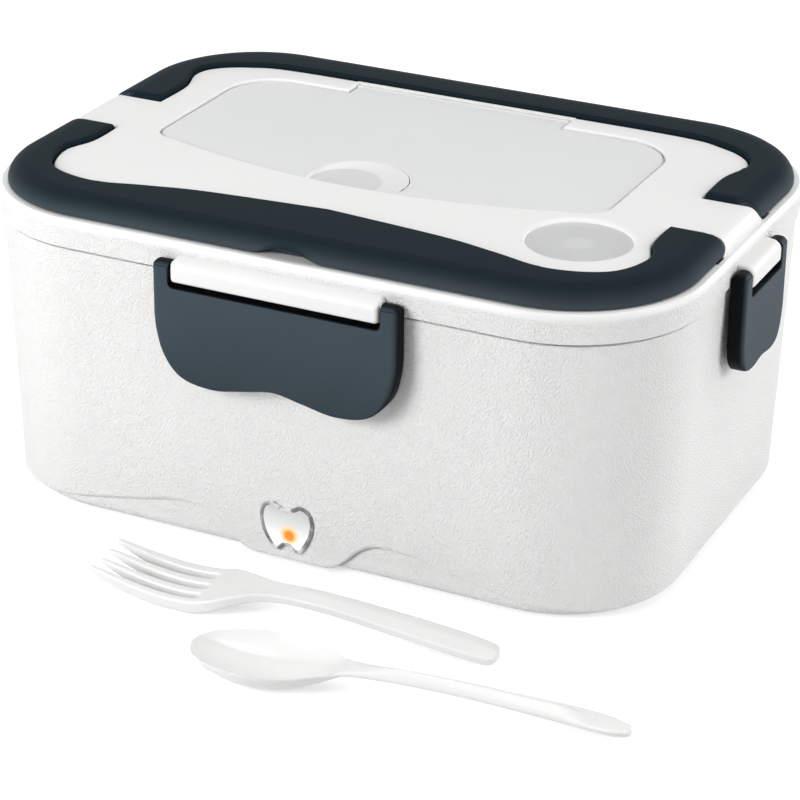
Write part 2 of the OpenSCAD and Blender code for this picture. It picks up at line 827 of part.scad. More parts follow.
// Outline of the frosted cover, shrunk by inset: round corners and a bulging front edge.
module cover_outline(inset, with_tab) {
    x0 = cover_left + inset;
    x1 = cover_right - inset;
    y0 = cover_front + inset;
    y1 = cover_back - inset;
    back_r = 18 - inset;
    front_r = 9 - inset;
    half = (x1 - x0) / 2 - front_r;
    slope = atan(2 * cover_bulge / half);
    polygon(concat(
        arc(x1 - back_r, y1 - back_r, back_r, 0, 90),
        arc(x0 + back_r, y1 - back_r, back_r, 90, 180),
        arc(x0 + front_r, y0 + front_r, front_r, 180, 270 - slope),
        [for (u = [-1 : 0.1 : 1]) [cover_mid_x + u * half, y0 - cover_bulge * (1 - u * u)]],
        arc(x1 - front_r, y0 + front_r, front_r, 270 + slope, 360)
    ));
    if (with_tab) {
        translate([tab_left + inset, y1 - 1])
            square([tab_right - tab_left - 2 * inset, tab_reach + 1]);
    }
}

bar_half_wide = wide_latch_w / 2 - ear_w - run;
bar_half_side = side_latch_w / 2 - ear_w - run;
bar_bottom = seam_z - 1.7;
bar_top = latch_axis_z + latch_out / 2 - run;

// White hinge bar of a latch: rounded at the front, drawn outward from the lid's face.
module hinge_bar(half) {
    along_x(2 * half) {
        translate([run, bar_bottom]) square([latch_out / 2 - run, bar_top - bar_bottom]);
        translate([run, bar_bottom + 1]) square([latch_out - run, latch_axis_z - bar_bottom - 1]);
        translate([latch_out / 2 - 1, bar_bottom]) square([latch_out / 2, 2]);
        translate([latch_out - 1, bar_bottom + 1]) circle(1);
        translate([latch_out / 2, latch_axis_z]) circle(latch_out / 2 - run);
        translate([-skirt_wall / 2, seam_z + 1])
            square([skirt_wall / 2 + 1, bar_top - seam_z - 2]);
    }
}

// The well under each handle arm, where its end dips when the handle is up.
end_gap = 0.25;
pocket_in_x = hl - arm_w - run;
pocket_out_x = cx + handle_r + run;
pocket_z = pivot_z - swing_r - run;
pocket_floor = 1.1;
pocket_front = pivot_z - handle_z + 2 * run;
pocket_back = swing_r + end_gap;
boss_l = 9;
boss_w = 6.4;

module pivot_pocket(side_y) {
    for (sx = [0, 1]) {
        mirror([sx, 0, 0]) translate([pocket_in_x, side_y - pocket_front, pocket_z])
            cube([pocket_out_x - pocket_in_x, pocket_front + pocket_back, swing_r]);
    }
}

// Walls round a pocket, from the inner boss out to the skirt.
module pocket_block(side_y) {
    block_x = pocket_in_x - boss_l;
    block_y = side_y - pocket_front - tray_wall;
    for (sx = [0, 1]) {
        mirror([sx, 0, 0]) translate([block_x, block_y, pocket_z - pocket_floor]) cube([
            cx + skirt_in_r + weld - block_x,
            pocket_front + pocket_back + 2 * tray_wall,
            ledge_z + weld - pocket_z + pocket_floor
        ]);
    }
}

// Block in the raised top that holds the inner half of a handle pin.
module pin_boss(y) {
    for (sx = [0, 1]) {
        mirror([sx, 0, 0]) translate([pocket_in_x - boss_l - 1, y - boss_w / 2, ledge_z])
            cube([boss_l + 1, boss_w, top_z - ledge_z - 0.5]);
    }
}

module handle_channel(edge, far_y, end_y) {
    translate([0, 0, channel_z]) linear_extrude(20) offset(delta = 2 * run)
        handle_footprint(edge, far_y, end_y);
}

scoop_y = cover_front - cover_bulge;
scoop_ball_r = (scoop_r * scoop_r + scoop_depth * scoop_depth) / (2 * scoop_depth);

// Dished finger recess under the notch in the cover's front edge.
module finger_scoop() {
    pad_z = cover_z - fit;
    difference() {
        intersection() {
            translate([cover_mid_x, scoop_y, pad_z - scoop_depth - tray_wall])
                cylinder(r = scoop_r + tray_wall, h = scoop_depth + tray_wall);
            linear_extrude(top_z) cover_outline(-tray_wall, false);
        }
        translate([cover_mid_x, scoop_y, pad_z - scoop_depth + scoop_ball_r]) sphere(scoop_ball_r);
    }
}

module lid_shell() {
    color("white") {
        lid_body();
        finger_scoop();
    }
}

module lid_body() {
    difference() {
        union() {
            // Skirt, shoulder, ledge under the handles and the raised white top.
            difference() {
                union() {
                    domed(corner_r, seam_z, channel_z + 0.6, shoulder_r);
                    domed(handle_r - 0.2, channel_z, top_z, 4.4);
                }
                slab(skirt_in_r, seam_z - 1, ledge_z);
                intersection() {
                    slab(handle_r - 4, ledge_z - 1, top_z - top_wall);
                    translate([0, 0, ledge_z - 1]) linear_extrude(20) difference() {
                        square([4 * hl, 4 * hw], center = true);
                        offset(delta = 2 * run + top_wall) handle_footprint(front_edge, -hw - 5, front_end);
                        offset(delta = 2 * run + top_wall) handle_footprint(rear_edge, hw + 5, rear_end);
                    }
                }
            }
            // Cutlery compartment.
            translate([0, 0, tray_z]) linear_extrude(top_z - top_wall + weld - tray_z)
                cover_outline(cover_shelf - tray_wall, false);
            translate([0, 0, cover_z - 3]) linear_extrude(top_z - weld - cover_z + 3) {
                cover_outline(-2, false);
                translate([tab_left - 5, 0]) square([tab_right - tab_left + 10, cover_axis_y + 3]);
            }
            // Vent seat and chimney.
            translate([vent_x, vent_y, tray_z]) cylinder(r = stem_r + fit + 1.6, h = top_z - tray_z - 1);
            translate([vent_x, vent_y, top_z - vent_h - 2.5]) cylinder(r = vent_r + 2, h = vent_h + 2);
            // Handle pockets and pin bosses.
            pocket_block(front_pivot_y);
            mirror([0, 1, 0]) pocket_block(-rear_pivot_y);
            pin_boss(front_pivot_y);
            pin_boss(rear_pivot_y);
            on_sides() {
                hinge_bar(bar_half_wide);
                hinge_bar(bar_half_side);
            }
        }
        handle_channel(front_edge, -hw - 5, front_end);
        handle_channel(rear_edge, hw + 5, rear_end);
        pivot_pocket(front_pivot_y);
        mirror([0, 1, 0]) pivot_pocket(-rear_pivot_y);
        // Cutlery compartment, cover recess and the cover's hinge.
        translate([0, 0, tray_z + tray_wall]) linear_extrude(20)
            cover_outline(cover_shelf, false);
        translate([0, 0, cover_z - fit]) linear_extrude(20) cover_outline(-run, true);
        translate([0, 0, cover_z - fit]) linear_extrude(20) translate([tab_left - run, cover_back])
            square([tab_right - tab_left + 2 * run, tab_reach + tab_r + run]);
        x_rod(tab_r + run, tab_left - run, tab_right + run, cover_axis_y, cover_axis_z);
        x_rod(stub_r + bore_gap, tab_left - stub_l - 0.4, tab_right + stub_l + 0.4,
            cover_axis_y, cover_axis_z);
        // Vent seat.
        translate([vent_x, vent_y, top_z - vent_h - 0.5]) cylinder(r = vent_r + fit, h = 10);
        translate([vent_x, vent_y, tray_z - 1]) cylinder(r = stem_r + fit, h = 30);
        // Pin bores of the handles and of the latches.
        for (y = [front_pivot_y, rear_pivot_y], sx = [0, 1]) {
            mirror([sx, 0, 0])
                x_rod(handle_pin_r + bore_gap, pocket_in_x - 8.5, pocket_in_x + 1, y, pivot_z);
        }
        on_sides() {
            x_rod(latch_pin_r + bore_gap, -hl, hl, -latch_out / 2, latch_axis_z);
            x_rod(latch_pin_r + bore_gap, -side_latch_w / 2 - 2, side_latch_w / 2 + 2,
                -latch_out / 2, latch_axis_z);
        }
    }
}

seal_r0 = container_in_r + 2.4;
seal_z = rim_top_z + 0.1;
dish_r = container_in_r - 3;

module lid_inner() {
    color("white") difference() {
        union() {
            swept() {
                translate([dish_r - 1.5, inner_z]) square([lip_r - dish_r + 1.5, inner_plate]);
                translate([dish_r - 1.5, dish_z]) square([1.5, inner_z - dish_z + inner_plate]);
                translate([seal_r0 - fit - 1, inner_z - 0.5]) square([1, 1]);
                translate([seal_r0 + seal_w + fit, inner_z - 0.5]) square([1, 1]);
            }
            slab(dish_r, dish_z, dish_z + 1.5);
        }
        swept() translate([seal_r0 - fit, inner_z - 1]) square([seal_w + 2 * fit, 1.5]);
        translate([vent_x, vent_y, dish_z - 1]) cylinder(r = stem_r + 2 * fit, h = 4);
    }
}

module lid_seal() {
    color("gray") swept() translate([seal_r0, seal_z]) square([seal_w, inner_z + 0.4 - seal_z]);
}

module compartment_cover() {
    color([0.85, 0.86, 0.87, 0.8]) {
        difference() {
            translate([0, 0, cover_z]) linear_extrude(cover_h) cover_outline(0, true);
            translate([tab_left - 1, cover_axis_y, cover_z - 1])
                cube([tab_right - tab_left + 2, 5, cover_h + 2]);
            translate([cover_mid_x, scoop_y, cover_z - 1]) cylinder(r = scoop_r, h = cover_h + 2);
        }
        x_rod(tab_r, tab_left, tab_right, cover_axis_y, cover_axis_z);
        x_rod(stub_r, tab_left - stub_l, tab_right + stub_l, cover_axis_y, cover_axis_z);
    }
}

module vent_plug() {
    color([0.88, 0.88, 0.88, 0.9]) translate([vent_x, vent_y, 0]) {
        translate([0, 0, top_z - vent_h - fit]) cylinder(r = vent_r, h = vent_h);
        translate([0, 0, dish_z + fit]) cylinder(r = stem_r - fit, h = top_z - vent_h - dish_z - fit);
    }
}

// ---- Handles ----

// Round-edged end of an arm, drawn in Y and Z with the arm running towards -Y.
module arm_side(end_y) {
    z1 = handle_z + handle_h;
    translate([end_y - lid_width, handle_z]) square([lid_width, handle_h - 2]);
    translate([end_y - lid_width, handle_z]) square([lid_width - 2, handle_h]);
    translate([end_y - 2, z1 - 2]) circle(2);
}

// A handle whose arms run towards -Y.
module handle(edge, end_y, notched) {
    pin_x = hl - arm_w;
    difference() {
        intersection() {
            translate([0, 0, handle_z]) linear_extrude(handle_h)
                handle_footprint(edge, -hw - 5, end_y);
            domed(handle_r, handle_z, handle_z + handle_h, handle_h - 0.2);
            translate([-hl - 5, 0, 0]) rotate([90, 0, 90]) linear_extrude(2 * hl + 10)
                arm_side(end_y);
        }
        for (sx = [0, 1]) {
            mirror([sx, 0, 0])
                x_rod(handle_pin_r + bore_gap, pin_x - 1, pin_x + 12, end_y - pivot_back, pivot_z);
        }
        if (notched) {
            notch_r = (notch_w * notch_w / 4 + notch_h * notch_h) / (2 * notch_h);
            y_rod(notch_r, -hw - 1, 4 - hw + handle_inset, 0, handle_z + notch_h - notch_r);
        }
    }
}

module front_handle() {
    color("darkslategray") handle(front_edge, front_end, true);
}

module rear_handle() {
    color("darkslategray") mirror([0, 1, 0])
        handle([for (p = rear_edge) [p[0], -p[1]]], -rear_end, false);
}

module handle_pin(sx, y) {
    color("silver") mirror([sx < 0 ? 1 : 0, 0, 0])
        x_rod(handle_pin_r, pocket_in_x - 8, hl - arm_w + 11.5, y, pivot_z);
}

// ---- Latches ----

// Outlines of the latches for x >= 0, in X and Z, from the lower middle round to the top.
function wide_latch_edge(w, drop) = let (z = latch_axis_z - drop) curve([
    [0, z + 3.5], [w * 0.12, z + 1.8], [w * 0.25, z], [w * 0.38, z + 1.8],
    [w * 0.462, z + 8.5], [w * 0.492, z + 16], [w / 2, z + 22]
]);
function side_latch_edge(w, drop) = let (z = latch_axis_z - drop) curve([
    [0, z + 0.8], [w * 0.2, z], [w * 0.35, z + 1], [w * 0.46, z + 5], [w / 2, z + 11]
]);

latch_slot_z = bar_bottom - 1.5;

cheek_t = 2;
cheek_h = 19;
// Distance from the lid's face to the back of the ears, and how far the cheeks go past it.
latch_back = 0.7;
cheek_in = 0.4;
hook_h = 2.2;

// One latch hanging from its bar. The lid's face is the plane y = 0 and outside is -Y.
module latch(w, edge) {
    front_y = -latch_out;
    rim_y = -catch_y - 2 * run;
    slot_half = w / 2 - ear_w;
    outline = both_sides(edge);
    ear_r = latch_out / 2 - fit;
    difference() {
        union() {
            along_y(front_y, front_y + latch_plate) latch_face(w, outline, 0);
            // Rim behind the front plate.
            difference() {
                along_y(front_y, rim_y) latch_face(w, outline, 0);
                along_y(front_y - 1, 0) offset(delta = -cheek_t) latch_face(w, outline, cheek_t);
            }
            // Deep cheeks at both sides, and the ears round the hinge pin.
            for (sx = [0, 1]) {
                mirror([sx, 0, 0]) {
                    along_y(front_y, cheek_in) translate([w / 2 - cheek_t, latch_axis_z - cheek_h])
                        square([cheek_t, latch_slot_z - latch_axis_z + cheek_h]);
                    along_y(front_y, -latch_back) translate([slot_half, latch_slot_z - 2])
                        square([ear_w, latch_axis_z - latch_slot_z + 2]);
                    x_rod(ear_r, slot_half, w / 2, -latch_out / 2, latch_axis_z);
                    along_y(front_y, -latch_out / 2) translate([slot_half, latch_slot_z])
                        square([ear_w, latch_axis_z - latch_slot_z + ear_r / 2]);
                }
            }
            // Hook that rests under the catch rib.
            along_x(w - 29) polygon([
                [latch_out - 1, catch_z - run - 2 * hook_h], [catch_y, catch_z - run - hook_h],
                [catch_y, catch_z - run], [latch_out - 1, catch_z - run]
            ]);
        }
        for (sx = [0, 1]) {
            mirror([sx, 0, 0])
                x_rod(latch_pin_r + bore_gap, slot_half - 1, w / 2 - 1.2, -latch_out / 2, latch_axis_z);
        }
    }
}

// Face of a latch below its slot, drawn in X and Z, with its upper edge raised by extra.
module latch_face(w, outline, extra) {
    z = latch_slot_z + extra;
    polygon(concat([[-w / 2, z]], outline, [[w / 2, z]]));
}

module latch_pin(w) {
    x_rod(latch_pin_r, -w / 2 + 1.4, w / 2 - 1.4, -latch_out / 2, latch_axis_z);
}

module wide_latch() {
    color("darkslategray") latch(wide_latch_w, wide_latch_edge(wide_latch_w, wide_latch_drop));
}

module side_latch() {
    color("darkslategray") latch(side_latch_w, side_latch_edge(side_latch_w, side_latch_drop));
}

// ---- Cutlery ----

// Side view of a piece of cutlery as a band of thickness t along the curve p, in X and Z.
module side_band(p, t) {
    c = curve(p, 5);
    polygon(concat(c, reversed(shifted(c, [0, t]))));
}

fork_turn = 3.5;
spoon_turn = 10.8;
fork_x = -47;
spoon_x = 4.5;
// Height of the tines' tips above the floor, and of the highest place of both handles.
tine_rise = 8.6;
handle_rise = 7;
bowl_depth = 7;

function fork_outline(l, w) = curve([
    [0, w * 0.36], [l * 0.1, w * 0.43], [l * 0.2, w * 0.48], [l * 0.3, w * 0.49], [l * 0.36, w * 0.4],
    [l * 0.41, w * 0.24], [l * 0.47, w * 0.18], [l * 0.6, w * 0.19], [l * 0.85, w * 0.24],
    [l * 0.97, w * 0.22], [l, w * 0.08]
], 5);

module fork() {
    half = fork_outline(fork_l, fork_w);
    pitch = (fork_w * 0.74 + slot_w) / 4;
    color("white") translate([fork_x, -fork_y, 0]) rotate(fork_turn) intersection() {
        linear_extrude(2 * handle_rise) difference() {
            polygon(concat(half, reversed([for (p = half) [p[0], -p[1]]])));
            for (i = [-1 : 1]) {
                polygon([
                    [-1, i * pitch - slot_w * 0.9], [tine_l - slot_w, i * pitch - slot_w / 2],
                    [tine_l - slot_w, i * pitch + slot_w / 2], [-1, i * pitch + slot_w * 0.9]
                ]);
                translate([tine_l - slot_w, i * pitch]) circle(slot_w / 2, $fn = 24);
            }
        }
        along_y(-fork_w, fork_w) side_band([
            [0, tine_rise], [fork_l * 0.12, tine_rise * 0.44], [fork_l * 0.24, tine_rise * 0.1],
            [fork_l * 0.32, run], [fork_l * 0.4, handle_rise * 0.52],
            [fork_l * 0.5, handle_rise * 0.99], [fork_l * 0.65, handle_rise * 0.97],
            [fork_l * 0.85, handle_rise * 0.49], [fork_l, run / 2]
        ], cutlery_t);
    }
}

function spoon_outline(l, w, bowl) = curve([
    [0, 0], [bowl * 0.04, w * 0.2], [bowl * 0.17, w * 0.38], [bowl * 0.45, w * 0.5],
    [bowl * 0.72, w * 0.42], [bowl * 0.95, w * 0.22], [bowl * 1.15, w * 0.13],
    [l * 0.6, w * 0.13], [l * 0.85, w * 0.17], [l * 0.96, w * 0.15], [l, 0]
], 5);

module spoon() {
    half = spoon_outline(spoon_l, bowl_w, bowl_l);
    rim_z = bowl_depth + 2 * run;
    long_r = (bowl_l * bowl_l / 4 + bowl_depth * bowl_depth) / (2 * bowl_depth);
    cross_r = (bowl_w * bowl_w / 4 + bowl_depth * bowl_depth) / (2 * bowl_depth);
    bowl_x = bowl_l * 0.48;
    color("white") translate([spoon_x, -spoon_y, 0]) rotate(spoon_turn) {
        // The bowl is a slice of a ring-shaped shell: long radius along, cross radius across.
        intersection() {
            linear_extrude(rim_z) polygon(concat(half, reversed([for (p = half) [p[0], -p[1]]])));
            translate([0, -bowl_w, 0]) cube([bowl_l * 1.05, 2 * bowl_w, rim_z]);
            translate([bowl_x, 0, fit + long_r]) rotate([90, 0, 0])
                rotate_extrude($fn = 128) translate([long_r - cross_r, 0]) intersection() {
                    difference() {
                        circle(cross_r, $fn = 96);
                        circle(cross_r - cutlery_t, $fn = 96);
                    }
                    translate([0, -cross_r]) square([cross_r, 2 * cross_r]);
                }
        }
        intersection() {
            linear_extrude(2 * handle_rise)
                polygon(concat(half, reversed([for (p = half) [p[0], -p[1]]])));
            along_y(-bowl_w, bowl_w) side_band([
                [bowl_l * 0.9, handle_rise * 0.74], [bowl_l, handle_rise * 0.87],
                [bowl_l * 1.12, handle_rise * 0.96], [spoon_l * 0.55, handle_rise],
                [spoon_l * 0.8, handle_rise * 0.57], [spoon_l + 1, run]
            ], cutlery_t);
        }
    }
}

outer_shell();
base_plate();
inner_liner();
base_screw(0);  // base_screw_1
base_screw(1);  // base_screw_2
base_screw(2);  // base_screw_3
base_screw(3);  // base_screw_4
foot_pad(0);  // foot_pad_1
foot_pad(1);  // foot_pad_2
foot_pad(2);  // foot_pad_3
foot_pad(3);  // foot_pad_4
heating_plate();
ptc_heater();
heater_clamp();
clamp_screw(1);  // clamp_screw_1
clamp_screw(-1);  // clamp_screw_2
thermostat();
thermal_fuse();
insulation_pad();
wiring();
power_inlet();
inlet_pin(1);  // inlet_pin_1
inlet_pin(-1);  // inlet_pin_2
indicator_lens();
signal_lamp();
lamp_board();
food_container();
small_container();
lid_shell();
lid_inner();
lid_seal();
compartment_cover();
vent_plug();
front_handle();
rear_handle();
handle_pin(1, front_pivot_y);  // handle_pin_1
handle_pin(-1, front_pivot_y);  // handle_pin_2
handle_pin(1, rear_pivot_y);  // handle_pin_3
handle_pin(-1, rear_pivot_y);  // handle_pin_4
translate([0, -hw, 0]) wide_latch();  // latch_front
rotate(180) translate([0, -hw, 0]) wide_latch();  // latch_rear
rotate(90) translate([0, -hl, 0]) side_latch();  // latch_right
rotate(-90) translate([0, -hl, 0]) side_latch();  // latch_left
translate([0, -hw, 0]) latch_pin(wide_latch_w);  // latch_pin_front
rotate(180) translate([0, -hw, 0]) latch_pin(wide_latch_w);  // latch_pin_rear
rotate(90) translate([0, -hl, 0]) latch_pin(side_latch_w);  // latch_pin_right
rotate(-90) translate([0, -hl, 0]) latch_pin(side_latch_w);  // latch_pin_left
fork();
spoon();
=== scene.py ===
"""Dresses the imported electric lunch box: a white moulded box with a lift-off lid, two dark
carrying handles, clip latches and a frosted cutlery cover, with a fork and a spoon in front.

Shapes are worked out in millimetres in the part's own frame: the origin lies on the floor
under the middle of the box, +X runs along its long side and the front faces -Y.
"""

import math

import bmesh
import bpy
import numpy as np
from mathutils import Matrix, Vector
from mathutils.geometry import delaunay_2d_cdt


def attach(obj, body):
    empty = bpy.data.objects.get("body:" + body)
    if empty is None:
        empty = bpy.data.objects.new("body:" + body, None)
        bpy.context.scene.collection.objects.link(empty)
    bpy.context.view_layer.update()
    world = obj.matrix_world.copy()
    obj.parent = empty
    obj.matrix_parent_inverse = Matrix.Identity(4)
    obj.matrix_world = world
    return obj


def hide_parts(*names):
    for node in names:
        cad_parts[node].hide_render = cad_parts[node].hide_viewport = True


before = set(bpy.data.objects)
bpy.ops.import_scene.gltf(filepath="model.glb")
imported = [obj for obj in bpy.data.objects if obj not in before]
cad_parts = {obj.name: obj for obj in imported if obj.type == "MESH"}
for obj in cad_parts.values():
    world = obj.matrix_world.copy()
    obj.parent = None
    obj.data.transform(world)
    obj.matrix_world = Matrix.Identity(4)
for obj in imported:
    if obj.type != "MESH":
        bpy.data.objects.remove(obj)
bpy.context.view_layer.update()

MM = 0.001

# ---- Sizes in millimetres, the same as the part's ----

HALF_L, HALF_W = 119.0, 84.0        # lid over its skirt
CX, CY = 75.0, 40.0                 # centres of the four corner arcs
SKIRT_R = 44.0                      # distances from those centres outward
SKIRT_IN_R = 42.0
HANDLE_R = 41.4                     # outer edge of the handles
SEAM_Z = 94.2
TOP_Z = 108.5                       # white top of the lid
CHANNEL_Z = 103.6                   # floor under the handles
SHOULDER_R = 2.6
GRAIN_END = (100.8, 102.2)          # the grain fades out between these heights
HANDLE_Z, HANDLE_H = 103.9, 6.1
FRONT_END, REAR_END = -16.0, 13.5   # where the handles' arms end
FRONT_PIVOT_Y, REAR_PIVOT_Y = -22.0, 19.5
CHANNEL_GAP = 0.6                   # between a handle and the raised top
COVER = dict(left=-84.0, right=75.0, back=53.0, front=-16.0, bulge=12.0)
COVER_Z = 106.4                     # underside of the frosted cover
TAB_LEFT, TAB_RIGHT, TAB_Y = -46.0, 33.0, 60.0              # the cover's hinge tab
NOTCH = (-6.0, -20.7)               # centre of the finger notch
NOTCH_R = 16.5
HOLLOW = (-10.0, -21.6)             # centre of the hollow in the finger dish
HOLLOW_R = 11.5
LINE = (-10.0, -30.0)               # centre of the fine line in the finger dish
LINE_R = 12.5
VENT = (76.4, -36.2)                # centre of the vent plug
VENT_R = 16.2
SIDES = dict(front=(0, HALF_W), rear=(180, HALF_W),        # angle, and distance of the lid's
             right=(90, HALF_L), left=(-90, HALF_L))       # face from the middle


# ---- Mesh tools ----

def spline(points, steps=8):
    """Catmull-Rom curve through the points, with this many steps between neighbours."""
    p = np.asarray(points, float)
    before, after = np.vstack([p[:1], p[:-2]]), np.vstack([p[2:], p[-1:]])
    a, b, c, d = (q[:, None, :] for q in (before, p[:-1], p[1:], after))
    t = (np.arange(steps) / steps)[None, :, None]
    q = 0.5 * (2 * b + (c - a) * t + (2 * a - 5 * b + 4 * c - d) * t**2
               + (3 * b - a - 3 * c + d) * t**3)
    return np.vstack([q.reshape(-1, p.shape[1]), p[-1:]])


def mirrored(points):
    """A curve given for x >= 0 from the middle outward, with its mirror image."""
    p = np.asarray(points, float)
    return np.vstack([p[:0:-1] * [-1, 1], p])


def arc(centre, r, start, end, steps=12):
    """Points on a circle between two angles in degrees."""
    a = np.radians(np.linspace(start, end, steps + 1))
    return np.asarray(centre) + r * np.column_stack([np.cos(a), np.sin(a)])


def anticlockwise(loop):
    """The closed loop, turned round if its area is negative."""
    x, y = loop.T
    area = (x * np.roll(y, -1) - np.roll(x, -1) * y).sum()
    return loop if area > 0 else loop[::-1]


def inset(loop, depth):
    """A closed anticlockwise loop moved inward by depth, which is one value or one for each
    side. A corner moves so that both of its sides keep their own depth."""
    side = np.roll(loop, -1, 0) - loop
    n = np.column_stack([-side[:, 1], side[:, 0]]) / np.linalg.norm(side, axis=1)[:, None]
    d = np.broadcast_to(np.asarray(depth, float), len(loop))
    n0, d0 = np.roll(n, 1, 0), np.roll(d, 1)
    c = (n * n0).sum(1)
    rest = 1 - c * c
    straight = rest < 0.03
    rest = np.where(straight, 1, rest)
    share = (d + d0) / 2 / (1 + c)
    return (loop + np.where(straight, share, (d0 - c * d) / rest)[:, None] * n0
            + np.where(straight, share, (d - c * d0) / rest)[:, None] * n)


def rounding(r, steps=4):
    """(inset, drop) pairs of a quarter circle, from the upright side to the flat top."""
    a = np.radians(np.linspace(0, 90, steps + 1))
    return [(r * (1 - math.cos(t)), r * (1 - math.sin(t))) for t in a]


def inside(points, loop):
    """Which points lie inside a closed loop, by counting the sides crossed to the right."""
    x, y = points[:, :1], points[:, 1:]
    a, b = loop, np.roll(loop, -1, 0)
    rise = np.where(b[:, 1] == a[:, 1], 1, b[:, 1] - a[:, 1])
    at = a[:, 0] + (y - a[:, 1]) * (b[:, 0] - a[:, 0]) / rise
    return (((a[:, 1] > y) != (b[:, 1] > y)) & (x < at)).sum(1) % 2 == 1


def plan(q, z):
    """Plan points (x, y) at height z."""
    return np.column_stack([q, np.full(len(q), float(z))])


def at_height(z):
    """plan for one height."""
    return lambda q: plan(q, z)


class Skin:
    """Collects grids and flat fills in millimetres and welds them into one closed mesh."""

    def __init__(self):
        self.points, self.faces, self.count = [], [], 0

    def _add(self, points, faces):
        self.points.append(np.asarray(points, float))
        self.faces.append(np.asarray(faces) + self.count)
        self.count += len(points)

    def grid(self, points, close_rows=False, close_cols=False):
        """Quads between neighbours of a rows x columns array of points."""
        rows, cols = points.shape[:2]
        i = np.arange(rows if close_rows else rows - 1)[:, None]
        j = np.arange(cols if close_cols else cols - 1)[None, :]
        i2, j2 = (i + 1) % rows, (j + 1) % cols
        quads = [i * cols + j, i * cols + j2, i2 * cols + j2, i2 * cols + j]
        self._add(points.reshape(-1, 3), np.stack(quads, -1).reshape(-1, 4))

    def fill(self, loops, place, extra=None):
        """Triangles of the flat region inside the first loop and outside the others."""
        flat = np.vstack(loops if extra is None else [*loops, extra])
        starts = np.cumsum([0] + [len(q) for q in loops])
        edges = [(s + k, s + (k + 1) % (e - s))
                 for s, e in zip(starts[:-1], starts[1:]) for k in range(e - s)]
        made = delaunay_2d_cdt([Vector(q) for q in flat], edges, [], 0, 1e-5)
        corners = np.array([tuple(q) for q in made[0]])
        triangles = np.array([f for f in made[2] if len(f) == 3])
        middle = corners[triangles].mean(1)
        keep = inside(middle, loops[0])
        for hole in loops[1:]:
            keep &= ~inside(middle, hole)
        self._add(place(corners), triangles[keep])

    def fan(self, loop):
        """Triangles from a closed loop of points to its centre."""
        n = len(loop)
        self._add(np.vstack([loop, loop.mean(0)]), [(k, (k + 1) % n, n) for k in range(n)])

    def wall(self, loops, levels, place, first=True, last=True):
        """Quads from loop to loop, each put at its level, and both ends closed flat."""
        rings = [place(q, level) for q, level in zip(loops, levels)]
        self.grid(np.stack(rings), close_cols=True)
        if first:
            self.fill([loops[0]], lambda q: place(q, levels[0]))
        if last:
            self.fill([loops[-1]], lambda q: place(q, levels[-1]))

    def pad(self, loop, rows, place, first=True, last=True):
        """A solid with this outline: each row gives how far the loop moves inward, and its
        level."""
        loop = anticlockwise(np.asarray(loop, float))
        self.wall([inset(loop, depth) for depth, _ in rows], [level for _, level in rows],
                  place, first, last)

    def piece(self, name, material, body, replaces=(), sharp=38, painted_light=None, slot=None):
        """Welds what was collected into one object that rides on a body. The given function
        gives each point a painted light value from its place and normal, to mix a lit and a
        shaded colour."""
        points = np.vstack(self.points) * MM
        mesh = bpy.data.meshes.new(name)
        mesh.from_pydata(points, [], [list(f) for part in self.faces for f in part])
        bm = bmesh.new()
        bm.from_mesh(mesh)
        bmesh.ops.remove_doubles(bm, verts=bm.verts, dist=2e-6)
        bmesh.ops.dissolve_degenerate(bm, edges=bm.edges, dist=1e-6)
        bmesh.ops.recalc_face_normals(bm, faces=bm.faces)
        bm.to_mesh(mesh)
        bm.free()
        mesh.shade_smooth()
        mesh.set_sharp_from_angle(angle=math.radians(sharp))
        mesh.materials.append(material)
        if painted_light:
            place, normal = np.empty(3 * len(mesh.vertices)), np.empty(3 * len(mesh.vertices))
            mesh.vertices.foreach_get("co", place)
            mesh.vertices.foreach_get("normal", normal)
            values = painted_light(place.reshape(-1, 3) / MM, normal.reshape(-1, 3))
            mesh.attributes.new("painted_light", "FLOAT", "POINT").data.foreach_set("value", values)
        piece = bpy.data.objects.new(name, mesh)
        bpy.context.scene.collection.objects.link(piece)
        even = piece.modifiers.new("even_shading", "WEIGHTED_NORMAL")
        even.keep_sharp = True
        even.weight = 60
        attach(piece, body)
        if replaces:
            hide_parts(*replaces)
        return piece


def beside(angle, distance):
    """Turns x along a side of the box, the distance out from its face, and the height into
    points. Angle 0 is the front, 90 the right, 180 the rear and -90 the left."""
    c, s = math.cos(math.radians(angle)), math.sin(math.radians(angle))

    def place(x, out, z):
        y = -(distance + out)
        return np.column_stack([c * x - s * y, s * x + c * y, z])
    return place


def on_face(angle, distance):
    """Places (x, height) outlines that stand upright on a side, this far out."""
    place = beside(angle, distance)
    return lambda q, out: place(q[:, 0], np.full(len(q), out), q[:, 1])


def across_face(angle, distance):
    """Places (outward, height) profiles that run along a side, at x."""
    place = beside(angle, distance)
    return lambda q, x: place(np.full(len(q), x), q[:, 0], q[:, 1])


def run_along(half, edge):
    """Rows of a pad that runs from -half to half, drawn in by edge at both ends."""
    return [(edge, -half), (0, edge - half), (0, half - edge), (edge, half)]


def walk_round(side_step=4.0, arc_steps=20):
    """Goes once round the box from the front's left end: the point on the rectangle of
    corner centres, and the outward direction there. A point at distance r lies r further
    out, so every r gives a rounded rectangle."""
    corners = np.array([[-CX, -CY], [CX, -CY], [CX, CY], [-CX, CY]])
    centres, angles = [], []
    for k in range(4):
        start, end = corners[k], corners[(k + 1) % 4]
        n = max(1, round(np.linalg.norm(end - start) / side_step))
        t = (np.arange(n) / n)[:, None]
        centres += [start + t * (end - start), np.repeat(end[None], arc_steps, 0)]
        turn = (k - 1) * np.pi / 2
        angles += [np.full(n, turn), turn + np.arange(arc_steps) / arc_steps * np.pi / 2]
    a = np.concatenate(angles)
    return np.vstack(centres), np.column_stack([np.cos(a), np.sin(a)])


